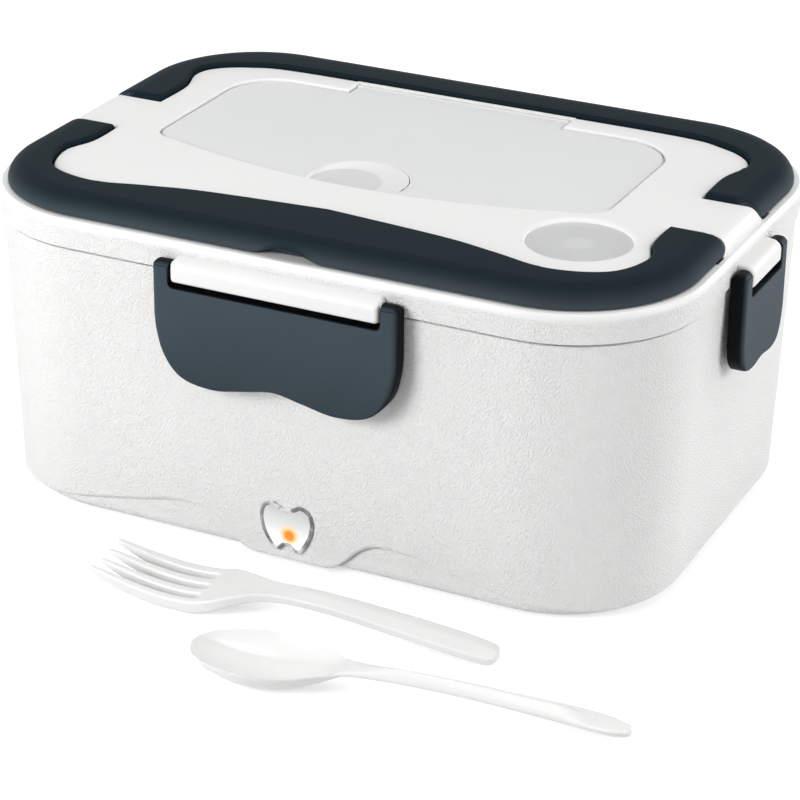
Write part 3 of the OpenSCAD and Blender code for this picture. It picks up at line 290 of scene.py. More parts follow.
def ring_grid(profile):
    """Carries a (distance, height) profile round the rounded rectangle of the box."""
    centres, outward = walk_round()
    r, z = np.asarray(profile, float).T
    xy = centres[:, None] + outward[:, None] * r[None, :, None]
    return np.dstack([xy, np.broadcast_to(z, xy.shape[:2])])


def ring_loop(r):
    """The rounded rectangle at this distance, in plan."""
    centres, outward = walk_round()
    return centres + r * outward


# ---- Materials ----

def colour(code):
    """An sRGB hex colour as linear RGBA."""
    c = np.array([int(code[i:i + 2], 16) for i in (1, 3, 5)]) / 255
    linear = np.where(c <= 0.04045, c / 12.92, ((c + 0.055) / 1.055) ** 2.4)
    return (*linear.tolist(), 1.0)


def add(tree, kind, inputs=None, **settings):
    """Adds one node: settings are its properties, and inputs gives each socket, by name or
    number, a value or what is linked to it: an output, or a node for its first output."""
    made = tree.nodes.new(kind)
    for key, value in settings.items():
        setattr(made, key, value)
    for key, value in (inputs or {}).items():
        if isinstance(value, bpy.types.Node):
            value = value.outputs[0]
        if isinstance(value, bpy.types.NodeSocket):
            tree.links.new(value, made.inputs[key])
        else:
            made.inputs[key].default_value = value
    return made


def blank(name):
    """A node material, its empty tree, and the piece's Object coordinates."""
    material = bpy.data.materials.new(name)
    material.use_nodes = True
    tree = material.node_tree
    tree.nodes.clear()
    return material, tree, add(tree, "ShaderNodeTexCoord").outputs["Object"]


def close(material, shader):
    """Puts the finished shader on the surface, and gives the material back."""
    add(material.node_tree, "ShaderNodeOutputMaterial", {"Surface": shader})
    return material


def per_metre(size_mm):
    """Texture scale for a pattern whose features are this large."""
    return 1000.0 / size_mm


def clouded(tree, place, code, second, size_mm, detail=2.0):
    """Two close tones in soft clouds of this size: the clouds' node, and the colour."""
    cloud = add(tree, "ShaderNodeTexNoise", {"Vector": place, "Scale": per_metre(size_mm),
                                             "Detail": detail})
    tint = add(tree, "ShaderNodeMix", {0: cloud, 6: colour(code), 7: colour(second)},
               data_type="RGBA")
    return cloud, tint.outputs[2]


def even_grain(tree, place, size_mm, depth_mm, strength, detail):
    """The normal of an even grain of this size and depth."""
    grain = add(tree, "ShaderNodeTexNoise", {"Vector": place, "Scale": per_metre(size_mm),
                                             "Detail": detail})
    return add(tree, "ShaderNodeBump", {"Height": grain, "Strength": strength,
                                        "Distance": depth_mm * MM}).outputs[0]


def moulded_white():
    """White ABS from a spark-eroded mould. The body and the lid's skirt have a fine leather
    grain of short wrinkles about 1 mm long, which breaks the light into small flecks; above
    the skirt the surface is smooth satin."""
    material, tree, place = blank("white_abs_leather_grain")
    pebble = add(tree, "ShaderNodeTexNoise", {"Vector": place, "Scale": per_metre(0.62),
                                              "Detail": 2.0, "Roughness": 0.65})
    strokes = []
    for turn in ((0.6, 0.7, 0.3), (0.6, -0.4, 0.9)):
        stretched = add(tree, "ShaderNodeMapping",
                        {"Vector": place, "Rotation": turn, "Scale": (1.0, 1.0, 2.2)},
                        vector_type="TEXTURE")
        strokes.append(add(tree, "ShaderNodeTexNoise",
                           {"Vector": stretched, "Scale": per_metre(0.52), "Detail": 1.0,
                            "Distortion": 0.3}))
    crossed = add(tree, "ShaderNodeMath", {0: strokes[0], 1: strokes[1]}, operation="MULTIPLY")
    wrinkles = add(tree, "ShaderNodeMapRange",
                   {"Value": crossed, "From Min": 0.17, "From Max": 0.36})
    grain = add(tree, "ShaderNodeMath", {0: pebble, 1: 1.3, 2: wrinkles},
                operation="MULTIPLY_ADD")
    height = add(tree, "ShaderNodeSeparateXYZ", {0: place})
    skirt = add(tree, "ShaderNodeMapRange",
                {"Value": height.outputs["Z"], "From Min": GRAIN_END[0] * MM,
                 "From Max": GRAIN_END[1] * MM, "To Min": 1.0, "To Max": 0.0})
    depth = add(tree, "ShaderNodeMath", {0: grain, 1: skirt}, operation="MULTIPLY")
    bump = add(tree, "ShaderNodeBump",
               {"Height": depth, "Strength": 1.0, "Distance": 0.2 * MM})
    _, tint = clouded(tree, place, "#eeeeed", "#f3f3f2", 60, 1.0)
    gloss = add(tree, "ShaderNodeMapRange", {"Value": skirt, "To Min": 0.42, "To Max": 0.5})
    shader = add(tree, "ShaderNodeBsdfPrincipled",
                 {"Base Color": tint, "Roughness": gloss, "IOR": 1.5,
                  "Subsurface Weight": 0.04, "Subsurface Radius": (1.0, 0.95, 0.9),
                  "Subsurface Scale": 0.5 * MM, "Normal": bump})
    return close(material, shader)


def satin(name, code, second, roughness, grain_mm=0.35, bump_mm=0.012, coat=0.0,
          shine=0.5, shade=None):
    """Moulded plastic with a fine even grain: two close tones in soft clouds, a roughness
    that drifts a little, and a grain that shows only as a soft highlight. Where the piece's
    painted light value is 0, it takes the colour of shade, a painted shade."""
    material, tree, place = blank(name)
    cloud, tint = clouded(tree, place, code, second, 25)
    # Painted light and shade: the piece's value mixes the lit colours with the shade colour.
    if shade:
        painted_light = add(tree, "ShaderNodeAttribute", attribute_name="painted_light")
        tint = add(tree, "ShaderNodeMix", {0: painted_light.outputs["Fac"], 6: colour(shade), 7: tint},
                   data_type="RGBA").outputs[2]
    gloss = add(tree, "ShaderNodeMapRange", {"Value": cloud, "To Min": roughness - 0.03,
                                             "To Max": roughness + 0.03})
    shader = add(tree, "ShaderNodeBsdfPrincipled",
                 {"Base Color": tint, "Roughness": gloss, "IOR": 1.5,
                  "Specular IOR Level": shine, "Coat Weight": coat, "Coat Roughness": 0.12,
                  "Normal": even_grain(tree, place, grain_mm, bump_mm, 0.5, 1.0)})
    return close(material, shader)


def brushed_metal(name, code, roughness, stretch):
    """Metal with fine scratches along one direction, from rolling or brushing, which draw
    its highlight out across them."""
    material, tree, place = blank(name)
    lines = add(tree, "ShaderNodeMapping", {"Vector": place, "Scale": stretch})
    scratch = add(tree, "ShaderNodeTexNoise",
                  {"Vector": lines, "Scale": per_metre(0.4), "Detail": 3.0})
    gloss = add(tree, "ShaderNodeMapRange", {"Value": scratch, "To Min": roughness - 0.08,
                                             "To Max": roughness + 0.08})
    bump = add(tree, "ShaderNodeBump",
               {"Height": scratch, "Strength": 0.2, "Distance": 0.01 * MM})
    shader = add(tree, "ShaderNodeBsdfPrincipled",
                 {"Base Color": colour(code), "Metallic": 1.0, "Roughness": gloss,
                  "Normal": bump})
    return close(material, shader)


def frosted(name, code, second):
    """Frosted polypropylene: an even pale grey that lets a little light in, very finely
    etched, so that it shows only a broad soft highlight."""
    material, tree, place = blank(name)
    _, tint = clouded(tree, place, code, second, 40)
    shader = add(tree, "ShaderNodeBsdfPrincipled",
                 {"Base Color": tint, "Roughness": 0.5, "IOR": 1.49,
                  "Subsurface Weight": 0.25, "Subsurface Radius": (1.0, 1.0, 1.0),
                  "Subsurface Scale": 1.5 * MM,
                  "Normal": even_grain(tree, place, 0.5, 0.02, 0.4, 2.0)})
    return close(material, shader)


def window_rim():
    """Polished bevel of the window, clear plastic with painted reflections: broad grey bands
    on the left and the right stand in for the dark gap behind it, and above and below it is
    mostly white with a few dark dashes."""
    material, tree, place = blank("clear_pmma_bevel_painted_reflections")
    parts = add(tree, "ShaderNodeSeparateXYZ", {0: place})
    off = add(tree, "ShaderNodeMath", {0: parts.outputs["X"]}, operation="ABSOLUTE")
    flank = add(tree, "ShaderNodeMapRange",
                {"Value": off, "From Min": 4.6 * MM, "From Max": 6.8 * MM},
                interpolation_type="SMOOTHSTEP")
    painted_reflection_noise = add(tree, "ShaderNodeTexNoise", {"Vector": place, "Scale": per_metre(3.2),
                                             "Detail": 1.5, "Distortion": 0.8})
    tones = []
    # Painted reflections: dark dashes in white, then grey bands for the dark gap seen through.
    for low, high, dark, light in ((0.4, 0.56, "#66686a", "#dcdddd"),       # dashes
                                   (0.35, 0.65, "#6a6c6e", "#a6a8a9")):     # bands
        share = add(tree, "ShaderNodeMapRange",
                    {"Value": painted_reflection_noise, "From Min": low, "From Max": high})
        tones.append(add(tree, "ShaderNodeMix", {0: share, 6: colour(dark), 7: colour(light)},
                         data_type="RGBA").outputs[2])
    tint = add(tree, "ShaderNodeMix", {0: flank, 6: tones[0], 7: tones[1]}, data_type="RGBA")
    shader = add(tree, "ShaderNodeBsdfPrincipled",
                 {"Base Color": tint.outputs[2], "Roughness": 0.08, "IOR": 1.49,
                  "Coat Weight": 0.5, "Coat Roughness": 0.03})
    return close(material, shader)


def lamp_window():
    """Clear polished window with the lamp behind it, all painted: painted shade grey at the
    top, white towards the bottom, a painted amber glow of the lamp round a deeper core, and a
    faint painted glow over the whole face."""
    material, tree, place = blank("clear_pmma_window_painted_glow")
    height = add(tree, "ShaderNodeSeparateXYZ", {0: place})
    rise = add(tree, "ShaderNodeMapRange", {"Value": height.outputs["Z"],
                                            "From Min": 7 * MM, "From Max": 20 * MM})
    # Painted shade: grey at the top, white towards the bottom.
    depth = add(tree, "ShaderNodeMix", {0: rise, 6: colour("#ffffff"), 7: colour("#b6b7b8")},
                data_type="RGBA")
    lamp = (0.9 * MM, -81.0 * MM, 10.4 * MM)
    away = add(tree, "ShaderNodeVectorMath", {0: place, 1: lamp}, operation="DISTANCE")
    # Each is 1 within the first distance of the lamp and 0 past the second.
    halo, core = (add(tree, "ShaderNodeMapRange",
                      {"Value": away.outputs["Value"], "From Min": near * MM,
                       "From Max": far * MM, "To Min": 1.0, "To Max": 0.0},
                      interpolation_type="SMOOTHSTEP")
                  for near, far in ((1.6, 3.9), (1.3, 2.1)))
    # Painted glow of the lamp, amber round a deeper core; the whole face glows at a strength
    # of at least 0.24.
    glow = add(tree, "ShaderNodeMix", {0: core, 6: colour("#ffc25e"), 7: colour("#ee8600")},
               data_type="RGBA")
    lit = add(tree, "ShaderNodeMix", {0: halo, 6: depth.outputs[2], 7: glow.outputs[2]},
              data_type="RGBA").outputs[2]
    strength = add(tree, "ShaderNodeMapRange", {"Value": halo, "To Min": 0.24, "To Max": 0.3})
    shader = add(tree, "ShaderNodeBsdfPrincipled",
                 {"Base Color": lit, "Roughness": 0.15, "IOR": 1.49, "Coat Weight": 0.6,
                  "Coat Roughness": 0.03, "Emission Color": lit,
                  "Emission Strength": strength})
    return close(material, shader)


# Numbers after the colours: roughness, grain size and depth in millimetres, clear coat.
WHITE = moulded_white()
WHITE_SATIN = satin("white_abs_satin", "#e9e9e8", "#ededec", 0.42, 0.8, 0.01)
WHITE_GLOSS = satin("white_polystyrene_polished", "#ededec", "#e9e9e8", 0.2, 2.5, 0.008, 0.15)
# The handles' material: painted light, with the rolled outer faces lighter and the flat bands
# in the darker painted shade.
HANDLE_SLATE = satin("slate_polypropylene_satin", "#3d474d", "#414b51", 0.48, 0.4, 0.010,
                     shine=0.02, shade="#18242a")
# The latches' material: painted shade, near black on their side walls and darker towards the
# bottom of their fronts.
LATCH_SLATE = satin("slate_polypropylene_matt", "#3b464e", "#424d55", 0.5, 0.6, 0.04,
                    shine=0.07, shade="#04070a")
FROSTED = frosted("frosted_polypropylene", "#e2e3e3", "#e6e7e7")
SILICONE = frosted("clear_silicone_plug", "#d0d1d1", "#d5d6d6")
# The finger dish's material: painted shade, greyer in its hollow than on its sloping wall.
DISH = satin("pale_polypropylene_dish", "#e6e6e6", "#eaeaea", 0.45, 0.5, 0.01, shade="#d8d8d8")
CONTAINER = satin("pale_grey_polypropylene", "#d7d8d9", "#dddedf", 0.4, 0.6, 0.012)
WINDOW = lamp_window()
WINDOW_RIM = window_rim()
SOCKET = satin("black_polyamide_socket", "#191b1d", "#202325", 0.4)
RUBBER = satin("grey_rubber_feet", "#3a3c3d", "#444647", 0.75, 0.5, 0.03)
SEAL = satin("grey_silicone_seal", "#b9bcbd", "#c3c6c6", 0.55, 0.6, 0.01)
STEEL = brushed_metal("brushed_stainless_steel", "#c9cacb", 0.28, (0.06, 1.0, 1.0))
SCREW_STEEL = brushed_metal("zinc_plated_steel", "#bfc2c4", 0.3, (1.0, 1.0, 0.3))
NICKEL = brushed_metal("nickel_plated_brass", "#cdc7ba", 0.22, (1.0, 0.2, 1.0))
ALUMINIUM = brushed_metal("rolled_aluminium", "#d0d1d2", 0.35, (1.0, 0.08, 1.0))
HEATER_FILM = satin("amber_polyimide_film", "#8c3b20", "#9a482a", 0.25, 3.0, 0.02, 0.3)
FIBRE = satin("pressed_fibre_pad", "#d8cfae", "#cabf98", 0.9, 1.2, 0.12)
LEADS = satin("red_silicone_leads", "#8f2f2a", "#9c3a33", 0.5)
BOARD = satin("green_epoxy_board", "#2c5b40", "#35684a", 0.35, 0.8, 0.01)
LAMP = satin("amber_epoxy_lamp", "#e08a1e", "#f09a2a", 0.2)
PHENOLIC = satin("brown_phenolic_thermostat", "#4a3a30", "#564439", 0.55)


def dress(material, *nodes):
    """Gives carried-over nodes their finish."""
    for name in nodes:
        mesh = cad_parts[name].data
        mesh.materials.clear()
        mesh.materials.append(material)


dress(WHITE, "base_plate")
dress(WHITE_SATIN, "inner_liner", "lid_inner")
dress(CONTAINER, "food_container", "small_container")
dress(ALUMINIUM, "heating_plate")
dress(STEEL, "heater_clamp")
dress(NICKEL, "inlet_pin_1", "inlet_pin_2", "thermal_fuse")
dress(SCREW_STEEL, "clamp_screw_1", "clamp_screw_2", *[f"latch_pin_{s}" for s in SIDES],
      *[f"{name}_{k}" for name in ("base_screw", "handle_pin") for k in (1, 2, 3, 4)])
dress(RUBBER, *[f"foot_pad_{k}" for k in (1, 2, 3, 4)])
dress(HEATER_FILM, "ptc_heater")
dress(PHENOLIC, "thermostat")
dress(LAMP, "signal_lamp")
dress(FIBRE, "insulation_pad")
dress(LEADS, "wiring")
dress(BOARD, "lamp_board")
dress(SOCKET, "power_inlet")
dress(SEAL, "lid_seal")


# ---- Body ----

def shell_r(z):
    """Outer distance of the drafted shell at height z: 43 at the seam and 40 at the floor."""
    return 43.0 - 3.0 * (SEAM_Z - z) / SEAM_Z


def wave_height(x):
    """Height of the shell's lower edge: a tongue under the window, a crest beside it, then a
    long fall to the corner."""
    edge = spline([(0, 1.0), (12, 1.0), (16, 2.0), (20, 5.2), (26, 10.8), (33, 13),
                   (43, 12.35), (55, 9.75), (72, 6.5), (88, 4.2), (103, 3), (124, 3)])
    return np.interp(np.abs(x), edge[:, 0], edge[:, 1])


def body_shell():
    """Closed wall: down the outside from the seam to the wavy edge, and back up inside. Each
    row is a height and a depth behind the drafted outside."""
    centres, outward = walk_round(side_step=1.5, arc_steps=24)
    low_r = 40.5                    # the outside's distance near its lower edge
    edge = wave_height(centres[:, 0] + outward[:, 0] * low_r)
    top, wall, step, tongue = 93.3, 2.5, 1.4, 1.1
    level = np.zeros_like(edge)
    rows = [(level + top - up, d) for up, d in ((0, 0.3), (0.08, 0.1), (0.3, 0))]
    rows += [((1 - t) * (top - 0.3) + t * (edge + 1.5), 0) for t in np.linspace(0, 1, 13)[1:]]
    rows += [(edge + up, d) for up, d in
             ((1.05, 0.07), (0.62, 0.27), (0.27, 0.58), (0.06, 1.0), (0, step))]
    rows += [(level + z, d) for z, d in ((15.8, step), (16.0, wall), (top - 0.4, wall),
                                         (top - 0.4, tongue), (top, tongue))]
    grid = np.stack([np.column_stack([centres + outward * (shell_r(z) - d)[:, None], z])
                     for z, d in rows])
    skin = Skin()
    skin.grid(grid, close_rows=True, close_cols=True)
    # Catch ribs under which the latches hook.
    rib = np.array([(-2, 74), (0.7, 74), (1.0, 74.3), (1.0, 74.8), (0.6, 75.4), (-2, 77.4)])
    for angle, distance in SIDES.values():
        half = 28 if distance == HALF_W else 10.5
        skin.pad(rib, run_along(half, 0.3), across_face(angle, distance))
    return skin.piece("body_shell_skin", WHITE, "box", ["outer_shell"])


def window_outline():
    """Apple shape of the lamp window, wide at the top with a dent above and a notch below."""
    half, low, high = 9.6, 4.5, 17.0
    shape = [(0, 0.89), (0.24, 0.93), (0.5, 1), (0.87, 0.9), (1, 0.65), (0.88, 0.33),
             (0.55, 0.03), (0.3, 0), (0.1, 0.09), (0, 0.1)]
    return mirrored(spline([(half * x, low + high * z) for x, z in shape], 6))[:-1]


def lamp_window_pieces():
    """Window on the front: a polished bevelled rim round a face that lies a little lower."""
    loop = anticlockwise(window_outline())
    place = on_face(0, CY)
    front = 41.05
    rim = Skin()
    bevel = [(0, 38.5), (0, front - 0.55), (0.15, front - 0.25), (0.45, front - 0.03),
             (0.7, front), (1.05, front - 0.06), (1.45, front - 0.24), (1.55, front - 0.6),
             (1.55, 38.5)]
    rim.grid(np.stack([place(inset(loop, d), out) for d, out in bevel]), close_rows=True,
             close_cols=True)
    rim.piece("lamp_window_rim", WINDOW_RIM, "box", ["indicator_lens"])
    face = Skin()
    face.pad(loop, [(1.4, 38.7), (1.4, front - 0.24), (1.7, front - 0.2), (2.4, front - 0.16)],
             place)
    face.piece("lamp_window_face", WINDOW, "box", slot="clear")


body_shell()
lamp_window_pieces()


# ---- Lid ----

def handle_edge(points, end):
    """Inner edge of a handle from its left arm's end to its right arm's end."""
    return mirrored(spline(points + [(98, end)]))


FRONT_EDGE = handle_edge([(0, -52), (40.5, -56), (59.5, -60), (78, -64), (95.2, -58),
                          (101.5, -43), (98, -30)], FRONT_END)
REAR_EDGE = handle_edge([(0, 63), (69, 63), (88, 59), (98.5, 52), (101.5, 43), (98, 30)],
                        REAR_END)

SADDLE_X = 116.2                    # outer face of the white saddle between the handles
SADDLE_TURN = 111.0                 # where the handles' ends start to round off
SADDLE_ROUND = 4.4                  # radius of the saddle's outer edge


def end_bend(x, z):
    """How far a handle's end draws back at its outer corner, which is rounded in plan and in
    the side view: 8 mm times the product of two quarter-circle curves."""
    across = np.clip((np.abs(x) - SADDLE_TURN) / 5.6, 0, 0.995)
    down = np.clip((TOP_Z + 0.3 - z) / 5.3, 0, 0.95)
    return 8.0 * (1 - np.sqrt(1 - across**2)) * (1 - np.sqrt(1 - down**2))


def plateau_loop():
    """Foot of the raised white top: along both handles, and out over the two saddles."""
    out = np.array([104, 108, SADDLE_TURN, 112.6, 114, 115.2, SADDLE_X])
    along = np.linspace(FRONT_END, REAR_END, 7)[1:-1]
    saddle = np.vstack([np.column_stack([out, np.full(len(out), FRONT_END)]),
                        np.column_stack([np.full(len(along), SADDLE_X), along]),
                        np.column_stack([out[::-1], np.full(len(out), REAR_END)])])
    return np.vstack([FRONT_EDGE, saddle, REAR_EDGE[::-1], saddle[::-1] * [-1, 1]])


def plateau_rows(heights):
    """The plateau's loop at each height: the handle side has a small rounded edge, and the
    saddle rounds down to the shoulder."""
    loop = plateau_loop()
    on_rim = np.abs(loop[:, 0]) > SADDLE_X - 0.01
    outer = on_rim & np.roll(on_rim, -1)
    middle, half = (FRONT_END + REAR_END) / 2, (REAR_END - FRONT_END) / 2
    reach = SADDLE_X - SADDLE_TURN
    loops = []
    for z in heights:
        q = inset(loop, np.where(outer, 0.0, CHANNEL_GAP + edge_inset(z, 0.7)))
        x, y = np.abs(q[:, 0]), q[:, 1]
        bend = end_bend(x, z) * (y - middle) / half
        shrink = (reach - edge_inset(z, SADDLE_ROUND)) / reach
        x = np.where(x > SADDLE_TURN, SADDLE_TURN + (x - SADDLE_TURN) * shrink, x)
        loops.append(np.column_stack([np.sign(q[:, 0]) * x, y + bend]))
    return loops


def edge_inset(z, r):
    """How far an edge of radius r under the top has drawn in at height z."""
    up = max(0.0, z - (TOP_Z - r))
    return r - math.sqrt(max(0.0, r * r - up * up))


def cover_loop(depth, tab=False, notch=0.0):
    """Outline of the frosted cover moved inward by depth: round corners, a front edge that
    bulges as a parabola, the hinge tab at the back, and the finger notch."""
    x0, x1 = COVER["left"] + depth, COVER["right"] - depth
    y0, y1 = COVER["front"] + depth, COVER["back"] - depth
    back_r, front_r = 18 - depth, 9 - depth
    half = (x1 - x0) / 2 - front_r
    middle = (x0 + x1) / 2
    slope = math.degrees(math.atan(2 * COVER["bulge"] / half))
    x = middle + half * np.linspace(-1, 1, 61)
    front = np.column_stack([x, y0 - COVER["bulge"] * (1 - ((x - middle) / half) ** 2)])
    if notch:
        reach = np.hypot(*(front - NOTCH).T)
        left = front[(reach > notch) & (front[:, 0] < NOTCH[0])]
        right = front[(reach > notch) & (front[:, 0] > NOTCH[0])]
        front = np.vstack([left, arc(NOTCH, notch, 202, -22, 40), right])
    parts = [arc((x1 - back_r, y1 - back_r), back_r, 0, 90)]
    if tab:
        tab_y = TAB_Y + 1.5 - depth if depth < 0 else TAB_Y
        parts += [[(TAB_RIGHT - depth, y1), (TAB_RIGHT - depth, tab_y),
                   (TAB_LEFT + depth, tab_y), (TAB_LEFT + depth, y1)]]
    parts += [arc((x0 + back_r, y1 - back_r), back_r, 90, 180),
              arc((x0 + front_r, y0 + front_r), front_r, 180, 270 - slope)[:-1], front,
              arc((x1 - front_r, y0 + front_r), front_r, 270 + slope, 360)[1:]]
    return np.vstack(parts)


def compartment_loop():
    """Rim of the cutlery compartment: the cover's outline moved in by its shelf, with a bay
    in front for the finger dish. It starts on the right side, goes round the back, along the
    front's left part, out round the bay, and along the front's right part."""
    shelf_w, bay_half = 4.0, 17.9
    loop, near = cover_loop(shelf_w), cover_loop(0.15)
    bay_left, bay_right = NOTCH[0] - bay_half, NOTCH[0] + bay_half
    middle = COVER["front"] + 20
    back, loop = loop[loop[:, 1] >= middle], loop[loop[:, 1] < middle]
    back = back[np.argsort(np.arctan2(back[:, 1] - middle + 0.01, back[:, 0] - NOTCH[0]))]
    bay = near[(np.abs(near[:, 0] - NOTCH[0]) < bay_half) & (near[:, 1] < middle)]
    left, right = loop[loop[:, 0] < bay_left], loop[loop[:, 0] > bay_right]
    into = [(bay_left, np.interp(bay_left, *left[left[:, 0] > -70].T)), (bay_left, bay[0, 1])]
    out_of = [(bay_right, bay[-1, 1]), (bay_right, right[0, 1])]
    return np.vstack([back, left, into, bay, out_of, right])


def pocket_loop(side):
    """Hole in the channel's floor where a handle's end dips, for the right front (side 1) or
    right rear (side -1); its outer part follows the foot of the rounded saddle."""
    pivot, end = (FRONT_PIVOT_Y, FRONT_END) if side > 0 else (REAR_PIVOT_Y, REAR_END)
    far = pivot - side * 2.9
    x, back = np.array([(116.7, 3.15), (116.2, 3.15), (115.2, 1.5), (114, 0.5), (113, 0.05),
                        (112, -0.25), (110.9, -0.4), (97.7, -0.4)]).T
    foot = np.column_stack([x, end - side * back])
    return anticlockwise(np.vstack([[(x[-1], far), (x[0], far)], foot]))


def lid_skin():
    """Lid in one closed skin: skirt, shoulder, channels, raised top, cover recess, cutlery
    compartment and vent seat."""
    skin = Skin()
    inner_z, shelf_z, seat_z, floor_z, pocket_z = 98.6, COVER_Z - 0.2, 106.6, 95.5, 99.5
    cut = 0.6                       # how much of the shoulder's top the channel cuts off
    shoulder = [(SKIRT_R - d, CHANNEL_Z + cut - h) for d, h in rounding(SHOULDER_R, 8)
                if CHANNEL_Z + cut - h < CHANNEL_Z]
    rim_r = SKIRT_R - SHOULDER_R + math.sqrt(SHOULDER_R**2 - (SHOULDER_R - cut) ** 2)
    profile = [(SKIRT_IN_R, inner_z), (SKIRT_IN_R, SEAM_Z + 0.3), (SKIRT_IN_R + 0.3, SEAM_Z),
               (SKIRT_R - 0.45, SEAM_Z), (SKIRT_R - 0.12, SEAM_Z + 0.12),
               (SKIRT_R, SEAM_Z + 0.45), *shoulder, (rim_r, CHANNEL_Z)]
    skin.grid(ring_grid(profile), close_rows=True)
    heights = [CHANNEL_Z, 104.1, 105.2, 106.2, 107, 107.6, 107.8, 108.05, 108.28, 108.43,
               TOP_Z]
    walls = plateau_rows(heights)
    skin.wall(walls, heights, plan, first=False, last=False)
    pockets = [anticlockwise(pocket_loop(side) * flip) for side in (1, -1)
               for flip in ([1, 1], [-1, 1])]
    skin.fill([ring_loop(rim_r), walls[0], *pockets], at_height(CHANNEL_Z))
    for loop in pockets:
        skin.pad(loop, [(0, CHANNEL_Z), (0, pocket_z)], plan, first=False)
    # Cover recess with its shelf, then the compartment below.
    gap = -0.45
    recess = [(gap - d, TOP_Z - h) for d, h in rounding(0.8)][::-1] + [(gap, shelf_z)]
    loops = [cover_loop(d, tab=True) for d, _ in recess]
    skin.wall(loops, [z for _, z in recess], plan, first=False, last=False)
    rim = anticlockwise(compartment_loop())
    deep = [(0, shelf_z), (0.1, COVER_Z - 0.4), (0.3, COVER_Z - 0.8), (0.3, 98.0)]
    deep += [(0.3 + d, floor_z + h) for d, h in [(0.15, 1.2), (0.6, 0.45), (1.6, 0)]]
    skin.fill([anticlockwise(loops[-1]), rim], at_height(shelf_z))
    skin.pad(rim, deep, plan, first=False)
    # Vent seat, whose edge flares, with the chimney that the plug's stem fills.
    seat = anticlockwise(arc(VENT, VENT_R + 0.15, 0, 360, 72)[:-1])
    chimney = anticlockwise(arc(VENT, 5.3, 0, 360, 32)[:-1])
    round_r, flare = 1.3, 1.7
    vent_rows = [(-d * flare, TOP_Z - h) for d, h in rounding(round_r, 6)][::-1]
    skin.pad(seat, vent_rows + [(0, seat_z)], plan, first=False, last=False)
    skin.fill([inset(seat, 0), chimney], at_height(seat_z))
    skin.pad(chimney, [(0, seat_z), (0, inner_z + 0.2)], plan, first=False)
    edges = [walls[-1], anticlockwise(loops[0]), inset(seat, -round_r * flare)]
    skin.fill(edges, at_height(TOP_Z))
    skin.fill([ring_loop(SKIRT_IN_R)], at_height(inner_z))
    return skin.piece("lid_skin", WHITE, "lid", ["lid_shell"])


def finger_dish():
    """Dish under the cover's notch: its wall slopes from the notch's circle down to a round
    hollow that lies off centre, steeply at first. A fine raised line crosses it, part of the
    circle round LINE."""
    rim_z, deep, low_z, steep = COVER_Z + 1.2, 1.1, 100.5, 1.6
    rim_r = NOTCH_R - 0.03
    a = np.linspace(0, np.pi, 65)
    x = NOTCH[0] - (rim_r - 0.01) * np.cos(a)
    edge = cover_loop(0.2)
    front = edge[edge[:, 1] < COVER["front"]]
    front = front[np.argsort(front[:, 0])]
    y0 = np.interp(x, front[:, 0], front[:, 1])
    y1 = np.maximum(NOTCH[1] + rim_r * np.sin(a), y0 + 0.01)
    v = np.sin(np.linspace(0, np.pi / 2, 41))[:, None]
    xs = np.broadcast_to(x, (41, 65))
    ys = y0 + v * (y1 - y0)
    sunk = dish_share(xs, ys)
    off_line = np.hypot(xs - LINE[0], ys - LINE[1]) - LINE_R
    line = 0.22 * np.exp(-(off_line / 0.45) ** 2) * sunk
    z = rim_z - deep * (1 - (1 - sunk) ** steep) + line
    top = np.dstack([xs, ys, z])
    low = np.dstack([xs, ys, np.full_like(z, low_z)])
    skin = Skin()
    skin.grid(np.concatenate([low[:1], top, low[-1:]]))
    skin.grid(low)

    # Painted shade: 1 on the sloping wall and 0 in the hollow, which takes the darker shade.
    def sloping(place, normal):
        return 1 - np.clip((dish_share(place[:, 0], place[:, 1]) - 0.9) / 0.08, 0, 1)
    return skin.piece("finger_dish", DISH, "lid", sharp=50, painted_light=sloping, slot="white_lid")


def dish_share(x, y):
    """0 at the notch's circle and 1 in the hollow: the distance to the circle, over the sum of
    that and the distance to the hollow."""
    outer = np.maximum(NOTCH_R - np.hypot(x - NOTCH[0], y - NOTCH[1]), 0)
    inner = np.maximum(np.hypot(x - HOLLOW[0], y - HOLLOW[1]) - HOLLOW_R, 0)
    return outer / np.maximum(outer + inner, 1e-6)


def latch_bar(name, angle, distance, half):
    """White hinge bar: an upright front that rolls over into a gently sloping top, and
    rounded ends, carried along the side."""
    profile = np.vstack([[(0.3, 92.5), (4.3, 92.5), (4.9, 92.65), (5.35, 93.1), (5.5, 93.7)],
                         arc((2.3, 96.4), 3.2, 0, 78, 9),
                         [(1.2, 99.75), (-0.8, 99.8), (-0.8, 95.4), (0.3, 95.4)]])
    r = 1.5
    ends = [(r * (1 - math.cos(t)), half - r + r * math.sin(t))
            for t in np.radians([78, 60, 40, 20, 0])]
    skin = Skin()
    skin.pad(profile, [(d, -x) for d, x in ends] + ends[::-1], across_face(angle, distance))
    return skin.piece(name, WHITE_SATIN, "lid", sharp=50, slot="white_lid")


def cover_piece():
    """Frosted cover with rounded edges, its notch, and the barrel of its hinge."""
    loop = cover_loop(0, tab=True, notch=NOTCH_R)
    top = COVER_Z + 1.3
    skin = Skin()
    skin.pad(loop, [(0.45, COVER_Z), (0.2, COVER_Z + 0.25)]
             + [(0.2 + d, top - h) for d, h in rounding(0.5)], plan)
    turn = np.radians(np.linspace(0, 360, 25)[:-1])
    barrel = np.column_stack([TAB_Y + 1.2 * np.cos(turn), COVER_Z + 0.6 + 1.2 * np.sin(turn)])
    skin.pad(barrel,
             [(0.2, TAB_LEFT), (0, TAB_LEFT + 0.2), (0, TAB_RIGHT - 0.2), (0.2, TAB_RIGHT)],
             lambda q, x: np.column_stack([np.full(len(q), x), q]))
    return skin.piece("frosted_cover", FROSTED, "compartment_cover", ["compartment_cover"])


